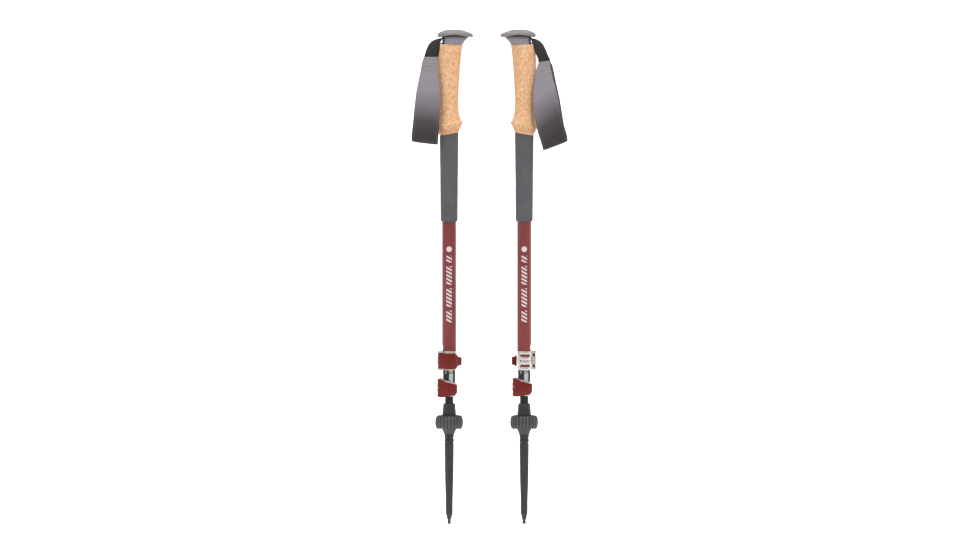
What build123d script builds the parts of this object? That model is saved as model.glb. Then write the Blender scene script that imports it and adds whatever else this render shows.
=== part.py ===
from build123d import *
import os
from math import atan2, cos, degrees, hypot, pi, radians, sin, tan

# A pair of telescoping trekking poles with cork grips, wrist straps and lever locks.
#
# Each pole is modelled standing on its tip with the tip at height 0 and its axis on Z,
# then moved to its place beside the other. The row's origin is the point on pole a's axis
# where the hand closes on the cork. Millimetres throughout.

# --- layout of the set -------------------------------------------------------------
POLE_SPACING = 97.0
HOLD_SHARE = 0.52           # the hand closes at this share of the cork's length
MIDDLE_GAP = {"a": 10.8, "b": 9.8}    # bare middle shaft between the two locks
LOWER_GAP = {"a": 8.5, "b": 9.5}      # bare lower shaft between lower lock and cone

# --- heights, stacked from the tip up ----------------------------------------------
CARBIDE_OUT = 6.0
FERRULE_OUT = 11.7
SEAT_LENGTH = 12.3
FLEX_LENGTH = 74.0
RING_ZONE = 12.0
STUB_LENGTH = 22.9
CONE_LENGTH = 17.6
LOWER_LOCK_HEIGHT = 24.4
UPPER_LOCK_HEIGHT = 24.4
BARE_SHAFT = 167.4
FOAM_LENGTH = 113.0
CORK_LENGTH = 115.5
HEAD_HEIGHT = 9.5
CAP_HEIGHT = 10.0

Z_FERRULE = CARBIDE_OUT
Z_TIP = Z_FERRULE + FERRULE_OUT
Z_FLEX = Z_TIP + SEAT_LENGTH
Z_RINGS = Z_FLEX + FLEX_LENGTH
Z_STUB = Z_RINGS + RING_ZONE
Z_CONE = Z_STUB + STUB_LENGTH
Z_CONE_TOP = Z_CONE + CONE_LENGTH
Z_LOWER_LOCK = Z_CONE_TOP + LOWER_GAP["a"]
Z_UPPER_LOCK = Z_LOWER_LOCK + LOWER_LOCK_HEIGHT + MIDDLE_GAP["a"]
Z_LOCK_TOP = Z_UPPER_LOCK + UPPER_LOCK_HEIGHT
Z_FOAM = Z_LOCK_TOP + BARE_SHAFT
Z_CORK = Z_FOAM + FOAM_LENGTH
Z_HEAD = Z_CORK + CORK_LENGTH
Z_CAP = Z_HEAD + HEAD_HEIGHT
Z_TOP = Z_CAP + CAP_HEIGHT
Z_HOLD = Z_CORK + HOLD_SHARE * CORK_LENGTH

# --- shafts ------------------------------------------------------------------------
UPPER_R = 9.0
SHAFT_WALL = 0.8
SHAFT_PLAY = 0.2            # radial play between one tube and the next
BUSH_PLAY = 0.05            # radial play of the guide plugs
MIDDLE_R = UPPER_R - SHAFT_WALL - SHAFT_PLAY
LOWER_R = MIDDLE_R - SHAFT_WALL - SHAFT_PLAY
NECK_R = 5.4                # lower shaft where it is drawn down for the tip
NECK_TAPER = 10.0
NECK_DEPTH = 60.0           # how far the neck goes into the tip body
TRAVEL = 330.0
ENGAGED = 64.0              # tube left inside its outer tube at full travel
PLUG_LIP = 6.0
PLUG_SPIGOT = 15.0
TUBE_END = 0.5              # a tube stops this far above the bottom of its lock
SLOT_WIDTH = 1.4
SLOT_EYE_R = 1.6
RELIEF_R = 4.2              # round relief above the upper lock, where the slot ends
RELIEF_ABOVE_LOCK = 4.4

# --- grip --------------------------------------------------------------------------
CORE_WALL = 1.6
CORE_SHORT = 4.5            # the core stops this far below the top of the cork
CORE_R = UPPER_R + CORE_WALL
SPIGOT_R = UPPER_R - 0.1
SPIGOT_LENGTH = 8.0
SHAFT_SHORT = 8.5           # the upper shaft stops this far below the top of the cork
# height as a share of the cork, front and back reach, half width, and how much lower
# the back of the section is than its front
CORK_SECTIONS = [
    (0.000, 12.3, 12.3, 12.3, 4.0),
    (0.040, 14.0, 13.9, 13.6, 5.0),
    (0.070, 16.2, 15.6, 15.0, 6.0),
    (0.094, 17.6, 16.2, 15.6, 6.2),
    (0.118, 16.9, 15.9, 15.2, 6.0),
    (0.175, 13.8, 14.8, 13.6, 5.5),
    (0.240, 12.5, 14.7, 12.8, 4.0),
    (0.350, 12.2, 15.2, 12.7, 3.0),
    (0.600, 13.2, 15.9, 12.9, 1.0),
    (0.820, 15.1, 15.2, 13.2, 0.0),
    (1.000, 17.4, 14.2, 13.6, 0.0),
]
FOAM_TOP_R = CORK_SECTIONS[0][1] - 0.2
FOAM_END_R = 10.9
FOAM_ROUND = 3.5
FOAM_LIP = 0.8
# share of the head's height, front reach, back reach, half width
HEAD_SECTIONS = [
    (0.00, 17.4, 9.2, 13.4),
    (0.42, 18.8, 9.5, 13.2),
    (0.76, 22.2, 10.8, 13.5),
    (1.00, 28.0, 14.4, 14.2),
]
CAP_SECTIONS = [
    (0.00, 28.0, 14.4, 14.2),
    (0.16, 30.2, 15.3, 15.0),
    (0.36, 30.0, 15.1, 14.9),
    (0.52, 27.6, 14.0, 13.8),
    (0.70, 23.6, 11.6, 11.6),
    (0.86, 18.6, 7.6, 8.6),
    (0.97, 12.0, 1.6, 4.4),
]

# --- strap -------------------------------------------------------------------------
WEB_WIDTH = 15.6
WEB_THICK = 1.3
BAND_THICK = 1.8
SLOT_HALF = WEB_WIDTH / 2 + 0.5
SLOT_LOW = 0.7              # mouth's floor above the bottom of the head
SLOT_HIGH = 8.7             # mouth's ceiling above the bottom of the head
SLOT_DEPTH = 9.0            # the mouth reaches this far past the axis
LEG_HIGH = 7.6              # centre of the upper layer above the bottom of the head
LEG_LOW = 1.8
PIN_X = 4.0
PIN_R = 1.25
PIN_HEAD_R = 2.0
PIN_HEAD_THICK = 1.0
PIVOT_OUT = 16.9            # distance of the strap's pivot from the pole's axis
ANCHOR_SHORT = 1.6
CHAMFER_IN = 9.4            # the cork's back corner is cut away from here outward
CHAMFER_RUN = 6.0
CHAMFER_DROP = 4.4

# --- locks -------------------------------------------------------------------------
RING_WALL = 1.2
SPLIT = 1.4
EAR_THICK = 2.0
EAR_PAST = 3.5              # ear beyond the screw's axis
SCREW_R = 1.1
SCREW_HEAD_R = 1.7
SCREW_HEAD = 1.8
SOCKET_R = 0.9
SOCKET_DEPTH = 1.1
SCREW_FIT = 0.1
SCREW_SHORT = 0.5           # the screw ends inside the barrel nut
NUT_R = 1.8
NUT_FIT = 0.05
CAM_R = 2.6
CAM_THROW = 0.35
PAD_THICK = 1.15
PAD_HALF_HEIGHT = 4.0
CAM_ROOM = 0.1
LEVER_ROOM = 0.7
LEVER_WALL = 2.2
NUT_SHORT = 1.0
CHEEK = 1.9                 # height of the upper lock's two hinge cheeks
CHEEK_REACH = 0.8           # the cheeks start at this share of the tube's radius
CHEEK_PLATE = 0.6           # thin plate that joins the cheeks beyond the hinge
PLATE_BACK = 1.2            # the plate starts this far behind the hinge, to let the lever open
LEVER_LOW = 0.9             # the upper lever sits this far below its collar's middle
WINDOW_OUT = 8.2
WINDOW_IN = 4.8
EYE_R = 1.0
SLIT = 0.6

# --- tip and basket ----------------------------------------------------------------
CARBIDE_R = 2.3
CARBIDE_NECK_R = 1.9
CARBIDE_SHANK = 8.0
FERRULE_R = 4.5
FERRULE_END_R = 2.6
FERRULE_CONE = 6.2
FERRULE_SHANK_R = 3.0
FERRULE_SHANK = 14.0
SEAT_R = 4.6
FLEX_MID_R = 5.5
FLEX_TOP_R = 6.0
STUB_R = 6.2
RING_GROOVE = 0.6
CONE_R = 9.15
CONE_TOP_R = 7.7
BASKET_R = 18.0
BASKET_PLAY = 0.25
BASKET_HEIGHT = 17.2
BASKET_NEST = 2.2           # how far the basket's top stands round the foot of the cone
BASKET_WALL = 1.8
BASKET_TEETH = 24
RIM_TUCK = 1.6              # how far the rim draws in below the widest part
HUB_R = 9.0
RIB_THICK = 1.7


def spin(*points):
    """A solid of revolution about Z from a closed outline of (radius, height) points."""
    outline = Polyline(*[(r, 0, z) for r, z in points], close=True)
    return revolve(make_face(outline), Axis.Z, 360)


def tube(outer, inner, low, high):
    """A plain tube on the Z axis."""
    return spin((inner, low), (outer, low), (outer, high), (inner, high))


def bar_y(x, z, radius, y0, y1):
    """A round bar along Y at (x, z)."""
    return Pos(x, (y0 + y1) / 2, z) * Rot(90, 0, 0) * Cylinder(radius, y1 - y0)


def block(x0, x1, y0, y1, z0, z1):
    """A box between two corners."""
    centre = Pos((x0 + x1) / 2, (y0 + y1) / 2, (z0 + z1) / 2)
    return centre * Box(x1 - x0, y1 - y0, z1 - z0)


def oval(front, back, half_width, z, drop=0.0):
    """An ellipse across the pole whose back point lies `drop` lower than its front."""
    lean = atan2(drop, front + back)
    plane = Plane(
        origin=((front - back) / 2, 0, z),
        x_dir=(cos(lean), 0, sin(lean)),
        z_dir=(-sin(lean), 0, cos(lean)),
    )
    return plane * Ellipse(hypot(front + back, drop) / 2, half_width)


def above_cork_foot():
    """A large block that fills the space above the slanting foot of the cork."""
    _, front, back, _, drop = CORK_SECTIONS[0]
    lean = degrees(atan2(drop, front + back))
    side = 4 * FOAM_LENGTH
    return Pos(0, 0, Z_CORK) * Rot(0, -lean, 0) * Pos(0, 0, side / 2) * Box(side, side, side)


# --- grip --------------------------------------------------------------------------
def cork_grip():
    """Moulded cork body, bored for its core, with the strap's corner cut away."""
    stations = [
        oval(front, back, half, Z_CORK + share * CORK_LENGTH, drop)
        for share, front, back, half, drop in CORK_SECTIONS
    ]
    body = loft(stations, ruled=True)
    z_core = Z_HEAD - CORE_SHORT
    body -= tube(CORE_R, 0, Z_CORK - 20, z_core)
    body -= tube(UPPER_R, 0, z_core - 1, Z_HEAD + 1)
    corner = make_face(
        Polyline(
            (-CHAMFER_IN, 0, Z_HEAD + 0.01),
            (-CHAMFER_IN - 2 * CHAMFER_RUN, 0, Z_HEAD + 0.01),
            (-CHAMFER_IN - 2 * CHAMFER_RUN, 0, Z_HEAD - 2 * CHAMFER_DROP),
            close=True,
        )
    )
    return body - extrude(corner, amount=30, both=True)


def grip_core():
    """Plastic sleeve between the shaft and the cork."""
    sleeve = tube(CORE_R, UPPER_R, Z_CORK - 20, Z_HEAD - CORE_SHORT)
    foot = above_cork_foot()
    return sleeve & foot


def foam_sleeve():
    """Foam extension under the cork, rounded at its lower end."""
    z_over = Z_CORK + 10
    section = make_face(
        Polyline((UPPER_R, 0, z_over), (UPPER_R, 0, Z_FOAM), (UPPER_R + FOAM_LIP, 0, Z_FOAM))
        + ThreePointArc(
            (UPPER_R + FOAM_LIP, 0, Z_FOAM),
            (FOAM_END_R - 0.4, 0, Z_FOAM + 0.35 * FOAM_ROUND),
            (FOAM_END_R, 0, Z_FOAM + FOAM_ROUND),
        )
        + Polyline((FOAM_END_R, 0, Z_FOAM + FOAM_ROUND), (FOAM_TOP_R, 0, Z_CORK),
                   (FOAM_TOP_R, 0, z_over), (UPPER_R, 0, z_over))
    )
    return revolve(section, Axis.Z, 360) - above_cork_foot()


def grip_head():
    """Neck of the grip: flares up to the cap, with the strap's mouth at the back."""
    body = loft([
        oval(front, back, half, Z_HEAD + share * HEAD_HEIGHT)
        for share, front, back, half in HEAD_SECTIONS
    ])
    body += tube(SPIGOT_R, 0, Z_HEAD - SPIGOT_LENGTH, Z_HEAD + 0.5)
    body -= block(-30, SLOT_DEPTH, -SLOT_HALF, SLOT_HALF, Z_HEAD + SLOT_LOW, Z_HEAD + SLOT_HIGH)
    z_pin = Z_HEAD + (LEG_HIGH + LEG_LOW) / 2
    body -= bar_y(PIN_X, z_pin, PIN_R + 0.02, -12.0, 30)
    body -= bar_y(PIN_X, z_pin, PIN_HEAD_R + 0.1, 12.2, 30)
    return body


def grip_cap():
    """Domed palm cap with a beak at the front."""
    return loft([
        oval(front, back, half, Z_CAP + share * CAP_HEIGHT)
        for share, front, back, half in CAP_SECTIONS
    ])


def head_screw():
    """Cross screw that the strap's webbing loops round."""
    z_pin = Z_HEAD + (LEG_HIGH + LEG_LOW) / 2
    screw = bar_y(PIN_X, z_pin, PIN_R, -11.8, 12.4)
    screw += bar_y(PIN_X, z_pin, PIN_HEAD_R, 12.3, 12.3 + PIN_HEAD_THICK)
    slot_half = 0.3
    slot = block(PIN_X - 3, PIN_X + 3, 12.9, 14, z_pin - slot_half, z_pin + slot_half)
    return screw - slot


def strap_wedge():
    """Wedge that pinches the two layers of webbing in the mouth."""
    low = Z_HEAD + LEG_LOW + WEB_THICK / 2
    high = Z_HEAD + LEG_HIGH - WEB_THICK / 2
    side = make_face(
        Polyline(
            (-8.6, 0, low + 0.1),
            (-8.6, 0, high - 0.1),
            (0.6, 0, high - 1.1),
            (0.6, 0, low + 1.1),
            close=True,
        )
    )
    return extrude(side, amount=SLOT_HALF - 0.4, both=True)


# --- strap -------------------------------------------------------------------------
def ribbon(stations, thick):
    """A flat strap lofted through stations of (point, width direction, width)."""
    faces = []
    last = len(stations) - 1
    for i, (point, across, width) in enumerate(stations):
        ahead = stations[min(i + 1, last)][0] - stations[max(i - 1, 0)][0]
        side = Vector(*across).normalized()
        normal = ahead.cross(side).normalized()
        w, n = side * (width / 2), normal * (thick / 2)
        corners = [point + w + n, point - w + n, point - w - n, point + w - n]
        faces.append(make_face(Polyline(*corners, close=True)))
    return loft(faces, ruled=True)


def strap_anchor():
    """Webbing inside the head: out to the pivot above, round the pin, and out below."""
    z_high, z_low = Z_HEAD + LEG_HIGH, Z_HEAD + LEG_LOW
    turn = (z_high - z_low) / 2
    end = -(PIVOT_OUT - ANCHOR_SHORT)
    slope = CHAMFER_DROP / CHAMFER_RUN
    bend = -(HEAD_SECTIONS[0][2] + 0.4)
    toe = -(CHAMFER_IN + 4.6)
    path = (
        Line((end, 0, z_high), (PIN_X, 0, z_high))
        + ThreePointArc(
            (PIN_X, 0, z_high), (PIN_X + turn, 0, (z_high + z_low) / 2), (PIN_X, 0, z_low)
        )
        + Line((PIN_X, 0, z_low), (bend, 0, z_low))
        + Line((bend, 0, z_low), (toe, 0, z_low + (toe - bend) * slope))
    )
    flat = make_face(
        offset(path, WEB_THICK / 2, kind=Kind.INTERSECTION, side=Side.BOTH).edges()
    )
    return extrude(flat, amount=WEB_WIDTH / 2, both=True)


# Stations are (outward, towards the back, height below the head's foot, width, lean in
# degrees): outward is away from the pole, and lean raises the outer edge of the band.
FRONT_BAND = {
    "a": [
        (23.3, -9.5, 19.5, 16.5, 0), (25.1, -12.6, 32.5, 20.5, 0), (26.2, -15.4, 46.0, 26.0, 1),
        (27.0, -17.8, 64.0, 31.0, 2), (28.2, -18.9, 84.0, 33.0, 3), (29.6, -18.7, 105.0, 34.0, 5),
        (31.2, -16.9, 126.0, 34.2, 7),
    ],
    "b": [
        (24.9, -9.0, 22.5, 13.8, 9), (24.6, -12.0, 32.0, 18.6, 8), (25.0, -15.0, 45.0, 24.0, 7),
        (26.0, -17.4, 60.0, 29.6, 8), (27.8, -18.6, 76.0, 33.6, 10), (30.3, -18.8, 91.0, 34.4, 13),
        (33.4, -18.0, 106.0, 34.4, 16), (39.8, -16.0, 127.6, 34.0, 21),
    ],
}
BACK_BAND = {
    "a": [
        (31.4, -12.1, 126.0, 34.2, 7), (30.0, -11.0, 105.0, 33.6, 5), (28.4, -10.4, 84.0, 32.8, 3),
        (27.2, -10.2, 64.0, 30.4, 2), (26.3, -9.7, 46.0, 25.4, 1), (25.0, -8.7, 32.5, 20.0, 0),
        (23.3, -7.2, 19.5, 16.5, 0),
    ],
    "b": [
        (40.2, -11.4, 127.6, 34.0, 21), (34.4, -10.6, 106.0, 34.0, 16), (32.0, -10.2, 91.0, 33.8, 13),
        (30.0, -9.8, 76.0, 33.0, 10), (28.6, -9.2, 60.0, 29.0, 8), (28.2, -8.5, 45.0, 23.4, 7),
        (28.6, -7.5, 32.0, 18.4, 8), (27.4, -5.8, 22.5, 14.0, 9),
    ],
}
# Stations are (outward, towards the back, height relative to the head's foot, turn):
# the webbing's width turns from across the pole at 0 degrees to outward at 90.
FRONT_WEB = {
    "a": [
        (PIVOT_OUT, 0.0, 7.6, 0), (20.2, -0.8, 4.9, 12), (22.6, -3.0, -1.5, 32),
        (23.5, -6.0, -9.0, 62), (23.4, -8.2, -14.4, 82), (23.2, -9.2, -18.2, 90),
    ],
    "b": [
        (PIVOT_OUT, 0.0, 7.6, 0), (20.4, -0.8, 4.6, 12), (22.6, -2.8, -2.0, 32),
        (24.0, -5.6, -10.5, 62), (24.7, -7.6, -16.0, 82), (24.9, -8.5, -20.2, 90),
    ],
}
BACK_WEB = {
    "a": [
        (14.6, 0.0, -2.0, 0), (17.6, -0.8, -8.2, 18), (20.6, -3.0, -13.4, 52), (23.2, -6.7, -18.0, 90),
    ],
    "b": [
        (14.6, 0.0, -2.0, 0), (18.2, -0.6, -8.8, 18), (22.6, -2.6, -14.8, 52), (26.9, -5.2, -20.0, 90),
    ],
}


def wrist_loop(side, pole):
    """Padded band: down in front, round the fold, and up behind. side is -1 or 1 in X."""
    def station(out, y, low, width, lean):
        turn = radians(lean)
        return Vector(side * out, y, Z_HEAD - low), (side * cos(turn), 0, sin(turn)), width

    front, back = FRONT_BAND[pole], BACK_BAND[pole]
    stations = [station(*s) for s in front]
    (u0, y0, low0, w0, lean0), (u1, y1, low1, w1, lean1) = front[-1], back[0]
    radius = (y1 - y0) / 2
    for share in (0.2, 0.4, 0.6, 0.8):
        mix = [a + share * (b - a) for a, b in zip((u0, low0, w0, lean0), (u1, low1, w1, lean1))]
        out = mix[0] + radius * sin(pi * share) * tan(radians(mix[3]))
        y = (y0 + y1) / 2 - radius * cos(pi * share)
        stations.append(station(out, y, mix[1] + radius * sin(pi * share), mix[2], mix[3]))
    stations += [station(*s) for s in back]
    return ribbon(stations, BAND_THICK)


def strap_webbing(side, pole):
    """The two layers of thin webbing between the head and the padded band."""
    layers = []
    for table in (FRONT_WEB[pole], BACK_WEB[pole]):
        stations = []
        for out, y, rise, turn in table:
            across = (side * sin(radians(turn)), cos(radians(turn)), 0)
            stations.append((Vector(side * out, y, Z_HEAD + rise), across, WEB_WIDTH))
        point, _, width = stations[-1]
        stations[-1] = (point, (side, 0, 0), min(width, 13.6))
        layers.append(ribbon(stations, WEB_THICK))
    return Compound(children=layers)


# --- shafts ------------------------------------------------------------------------
def clamp_slot(radius, z_end, z_eye, eye_r):
    """Slot that lets a tube's end close, with a round eye at its top."""
    x_out = -radius - 1
    slot = block(x_out, -radius / 2, -SLOT_WIDTH / 2, SLOT_WIDTH / 2, z_end - 1, z_eye)
    eye = Pos((x_out - radius / 2) / 2, 0, z_eye) * Rot(0, 90, 0)
    return slot + eye * Cylinder(eye_r, radius / 2 + 1)


Z_UPPER_END = Z_UPPER_LOCK + TUBE_END
Z_MIDDLE_END = Z_LOWER_LOCK + TUBE_END
Z_MIDDLE_TOP = Z_UPPER_END + TRAVEL + ENGAGED
Z_LOWER_TOP = Z_MIDDLE_END + TRAVEL + ENGAGED


def upper_shaft():
    """Outer aluminium tube, bonded into the grip, slotted under the lock."""
    body = tube(UPPER_R, UPPER_R - SHAFT_WALL, Z_UPPER_END, Z_HEAD - SHAFT_SHORT)
    return body - clamp_slot(UPPER_R, Z_UPPER_END, Z_LOCK_TOP + RELIEF_ABOVE_LOCK, RELIEF_R)


def middle_shaft():
    """Middle aluminium tube, slotted under the lower lock."""
    body = tube(MIDDLE_R, MIDDLE_R - SHAFT_WALL, Z_MIDDLE_END, Z_MIDDLE_TOP)
    z_eye = Z_LOWER_LOCK + LOWER_LOCK_HEIGHT - 4
    return body - clamp_slot(MIDDLE_R, Z_MIDDLE_END, z_eye, SLOT_EYE_R)


def lower_shaft():
    """Lower aluminium tube, drawn down to a neck that goes into the tip."""
    z_neck = Z_MIDDLE_END + TUBE_END
    z_end = Z_CONE_TOP - NECK_DEPTH
    outer = [(NECK_R, z_end), (NECK_R, z_neck), (LOWER_R, z_neck + NECK_TAPER), (LOWER_R, Z_LOWER_TOP)]
    inner = [(r - SHAFT_WALL, z) for r, z in reversed(outer)]
    return spin(*outer, *inner)


def guide_plug(tube_r, z_top):
    """Plastic plug in a tube's top end, with a lip that guides it in the next tube."""
    bore = tube_r - SHAFT_WALL
    lip_r = tube_r + SHAFT_PLAY - BUSH_PLAY
    hollow_r = bore - 2.0
    return spin(
        (hollow_r, z_top - PLUG_SPIGOT),
        (bore - BUSH_PLAY, z_top - PLUG_SPIGOT),
        (bore - BUSH_PLAY, z_top + BUSH_PLAY),
        (lip_r, z_top + BUSH_PLAY),
        (lip_r, z_top + PLUG_LIP - 1),
        (lip_r - 1, z_top + PLUG_LIP),
        (hollow_r, z_top + PLUG_LIP),
    )


# --- locks -------------------------------------------------------------------------
def prism(outline):
    """A prism along Y with this (x, z) outline, longer than any lock is wide."""
    face = make_face(Polyline(*[(x, 0, z) for x, z in outline], close=True))
    return extrude(face, amount=40, both=True)


def polar(radius, angle):
    """A point at this radius and angle in degrees in the XY plane."""
    return radius * cos(radians(angle)), radius * sin(radians(angle))


class Lock:
    """A lever clamp: split collar, tension screw, barrel nut, wear pad and cam lever."""

    def __init__(self, tube_r, low, high, screw_room, collar, lever, lever_end, upper):
        self.tube_r, self.low, self.high = tube_r, low, high
        self.ring_r = tube_r + RING_WALL
        self.screw_x = -(self.ring_r + SCREW_R + screw_room)
        self.z = (low + high) / 2
        self.ear_y = SPLIT / 2 + EAR_THICK
        self.pivot_y = -(self.ear_y + PAD_THICK + CAM_ROOM + CAM_R + CAM_THROW)
        self.collar_outline, self.lever_outline = collar, lever
        self.lever_end, self.upper = lever_end, upper

    def collar(self):
        """Split ring with two ears, pierced for the screw."""
        body = tube(self.ring_r, self.tube_r, self.low, self.high)
        ear_end = self.screw_x - EAR_PAST
        ear_start = -(self.tube_r + 0.3)
        for y0, y1 in ((SPLIT / 2, self.ear_y), (-self.ear_y, -SPLIT / 2)):
            body += block(ear_end, ear_start, y0, y1, self.low, self.high)
        body -= block(ear_end - 1, -self.tube_r / 2, -SPLIT / 2, SPLIT / 2, self.low - 1, self.high + 1)
        body -= bar_y(self.screw_x, self.z, SCREW_R + SCREW_FIT, -self.ear_y - 1, self.ear_y + 1)
        for y0, y1 in ((SPLIT / 2, self.ear_y), (-self.ear_y, -SPLIT / 2)):
            for z0, z1 in ((self.z + 5, self.high - 3.2), (self.low + 3.2, self.z - 5)):
                body -= block(ear_end - 1, self.screw_x + 0.6, y0 - 1, y1 + 1, z0, z1)
        if self.upper:
            body -= self.window_cut()
            y_front = self.pivot_y - NUT_R
            for z0, z1 in ((self.low, self.low + CHEEK), (self.high - CHEEK, self.high)):
                body += block(ear_end, -CHEEK_REACH * self.tube_r, y_front, -SPLIT / 2 - 0.5, z0, z1)
            y_front = self.pivot_y + PLATE_BACK
            body += block(ear_end, ear_end + CHEEK_PLATE, y_front, -self.ear_y, self.low, self.high)
            body -= Cylinder(self.tube_r, 4 * self.high)
        return body & prism(self.collar_outline)

    def window_cut(self):
        """Two windows, an eye and a slit in the back of the collar."""
        hinge_x, far_x = -0.78 * self.tube_r, 0.65 * self.tube_r
        cut = None
        for up in (1, -1):
            face = make_face(
                Polyline(
                    (far_x, 0, self.z + up * WINDOW_OUT),
                    (hinge_x, 0, self.z + up * WINDOW_OUT),
                    (hinge_x, 0, self.z + up * WINDOW_IN),
                    (0.2 * self.tube_r, 0, self.z + up * WINDOW_IN),
                )
                + ThreePointArc(
                    (0.2 * self.tube_r, 0, self.z + up * WINDOW_IN),
                    (0.45 * self.tube_r, 0, self.z + up * (WINDOW_IN + 0.6)),
                    (far_x, 0, self.z + up * WINDOW_OUT),
                )
            )
            window = Pos(0, 20, 0) * extrude(face, amount=19.5, both=True)
            cut = window if cut is None else cut + window
        cut += bar_y(far_x - 1.2, self.z, EYE_R, 1, 20)
        return cut + block(hinge_x, far_x - 1.2, 1, 20, self.z - SLIT / 2, self.z + SLIT / 2)

    def pad(self):
        """Wear pad between the cam and the front ear."""
        x0, x1 = self.screw_x - 2.6, self.screw_x + 1.7
        body = block(x0, x1, -self.ear_y - PAD_THICK, -self.ear_y,
                     self.z - PAD_HALF_HEIGHT, self.z + PAD_HALF_HEIGHT)
        return body - bar_y(self.screw_x, self.z, SCREW_R + SCREW_FIT, -20, 0)

    def screw(self):
        """Tension screw, from the back ear through to the barrel nut."""
        y_tip = self.pivot_y - NUT_R + SCREW_SHORT
        body = bar_y(self.screw_x, self.z, SCREW_R, y_tip, self.ear_y + 0.5)
        y_seat = self.ear_y + BUSH_PLAY
        body += bar_y(self.screw_x, self.z, SCREW_HEAD_R, y_seat, y_seat + SCREW_HEAD)
        y_face = y_seat + SCREW_HEAD
        socket = Pos(self.screw_x, y_face, self.z) * Rot(90, 0, 0)
        socket *= extrude(RegularPolygon(SOCKET_R, 6), amount=SOCKET_DEPTH)
        return body - socket

    def nut_span(self):
        """Lowest and highest point of the barrel nut: inside the lever's outline."""
        levels = [z for x, z in self.lever_outline if x < self.screw_x + 4]
        return min(levels) + NUT_SHORT, max(levels) - 2 * NUT_SHORT

    def nut(self):
        """Barrel nut that the lever turns on."""
        low, high = self.nut_span()
        body = Pos(self.screw_x, self.pivot_y, (low + high) / 2) * Cylinder(NUT_R, high - low)
        return body - bar_y(self.screw_x, self.z, SCREW_R + SCREW_FIT / 2, -20, 0)

    def lever(self):
        """Cam lever: knuckle on the nut, curved plate round the collar, and a thumb tab."""
        r_in = self.ring_r + LEVER_ROOM
        r_out = r_in + LEVER_WALL
        x, y = self.screw_x, self.pivot_y
        start = degrees(atan2(-y, -x)) + 180
        sweep = [start + (self.lever_end - start) * i / 12 for i in range(13)]
        plate = Circle(r_out) - Circle(r_in)
        fan = Polyline((0, 0), *[polar(2 * r_out, a) for a in sweep], close=True)
        plate &= make_face(fan)
        heel = (x - CAM_R * cos(radians(55)), y - CAM_R * sin(radians(55)))
        mid = r_in + LEVER_WALL / 2
        web = [heel, polar(r_out, start + 42), polar(mid, start + 42), polar(mid, start + 12), (x, y)]
        plate += make_face(Polyline(*web, close=True)) - Circle(r_in)
        plate += Pos(x, y + CAM_THROW) * Circle(CAM_R)
        if self.upper:
            end = self.lever_end
            reach = r_out + 2.6
            tab = [polar(r_out - 0.1, end - 10), polar(reach + 0.7, end + 12),
                   polar(reach - 1.0, end + 17), polar(r_in + 0.1, end)]
            plate += make_face(Polyline(*tab, close=True)) - Circle(r_in)
        body = Pos(0, 0, self.low - 5) * extrude(plate, amount=self.high - self.low + 10)
        body &= prism(self.lever_outline)
        body -= Pos(x, y, self.z) * Cylinder(NUT_R + NUT_FIT, 4 * self.high)
        room = SCREW_R + 0.5
        body -= block(x - 10, x + room, y - NUT_R, 0, self.z - room, self.z + room)
        return body


def upper_lock():
    """Lock on the upper shaft; its lever is a stretched octagon."""
    low, high = Z_UPPER_LOCK, Z_LOCK_TOP
    mid = (low + high) / 2 - LEVER_LOW
    tall, short = UPPER_LOCK_HEIGHT / 2 - CHEEK + 0.1, 5.4
    left = -(UPPER_R + 8)
    lever = [
        (left, mid - tall), (0.82 * UPPER_R, mid - tall), (1.42 * UPPER_R, mid - short),
        (UPPER_R + 8, mid - short + 0.5), (UPPER_R + 8, mid + short - 0.5),
        (1.42 * UPPER_R, mid + short), (0.82 * UPPER_R, mid + tall), (left, mid + tall),
    ]
    collar = [(left, low), (-left, low), (-left, high), (left, high)]
    cheek_x, foot = 0.3 - CHEEK_REACH * UPPER_R, low + CHEEK + 0.25
    lever = [(left, foot), (cheek_x, foot), (cheek_x + 1.2, mid - tall)] + lever[1:]
    return Lock(UPPER_R, low, high, 0.35, collar, lever, 338, True)


def lower_lock():
    """Lock on the middle shaft; its lever is tall at the hinge and slants to its end."""
    low, high = Z_LOWER_LOCK, Z_LOWER_LOCK + LOWER_LOCK_HEIGHT
    left, right = -(MIDDLE_R + 7.6), MIDDLE_R + 2.5
    lever = [
        (left, low + 2.4), (left + 1.2, low + 0.6), (left + 3, low), (-0.9 * MIDDLE_R, low),
        (-0.4 * MIDDLE_R, low + 1.0), (0.9 * MIDDLE_R, low + 2.4), (right, low + 5.8),
        (right, high - 8.8), (right - 1.0, high - 7.9), (0.7 * MIDDLE_R, high - 7.2),
        (-0.6 * MIDDLE_R, high - 4.4), (-1.2 * MIDDLE_R, high - 2.0), (left + 1.6, high - 1.2),
        (left, high - 3.4),
    ]
    collar = [
        (left, low + 1.2), (2 * MIDDLE_R, low + 1.0), (2 * MIDDLE_R, high - 6.6),
        (0.7 * MIDDLE_R, high - 5.4), (-0.6 * MIDDLE_R, high - 2.5), (-1.3 * MIDDLE_R, high - 0.2),
        (-1.5 * MIDDLE_R, high), (left, high - 1.6),
    ]
    return Lock(MIDDLE_R, low, high, 2.1, collar, lever, 342, False)


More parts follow.
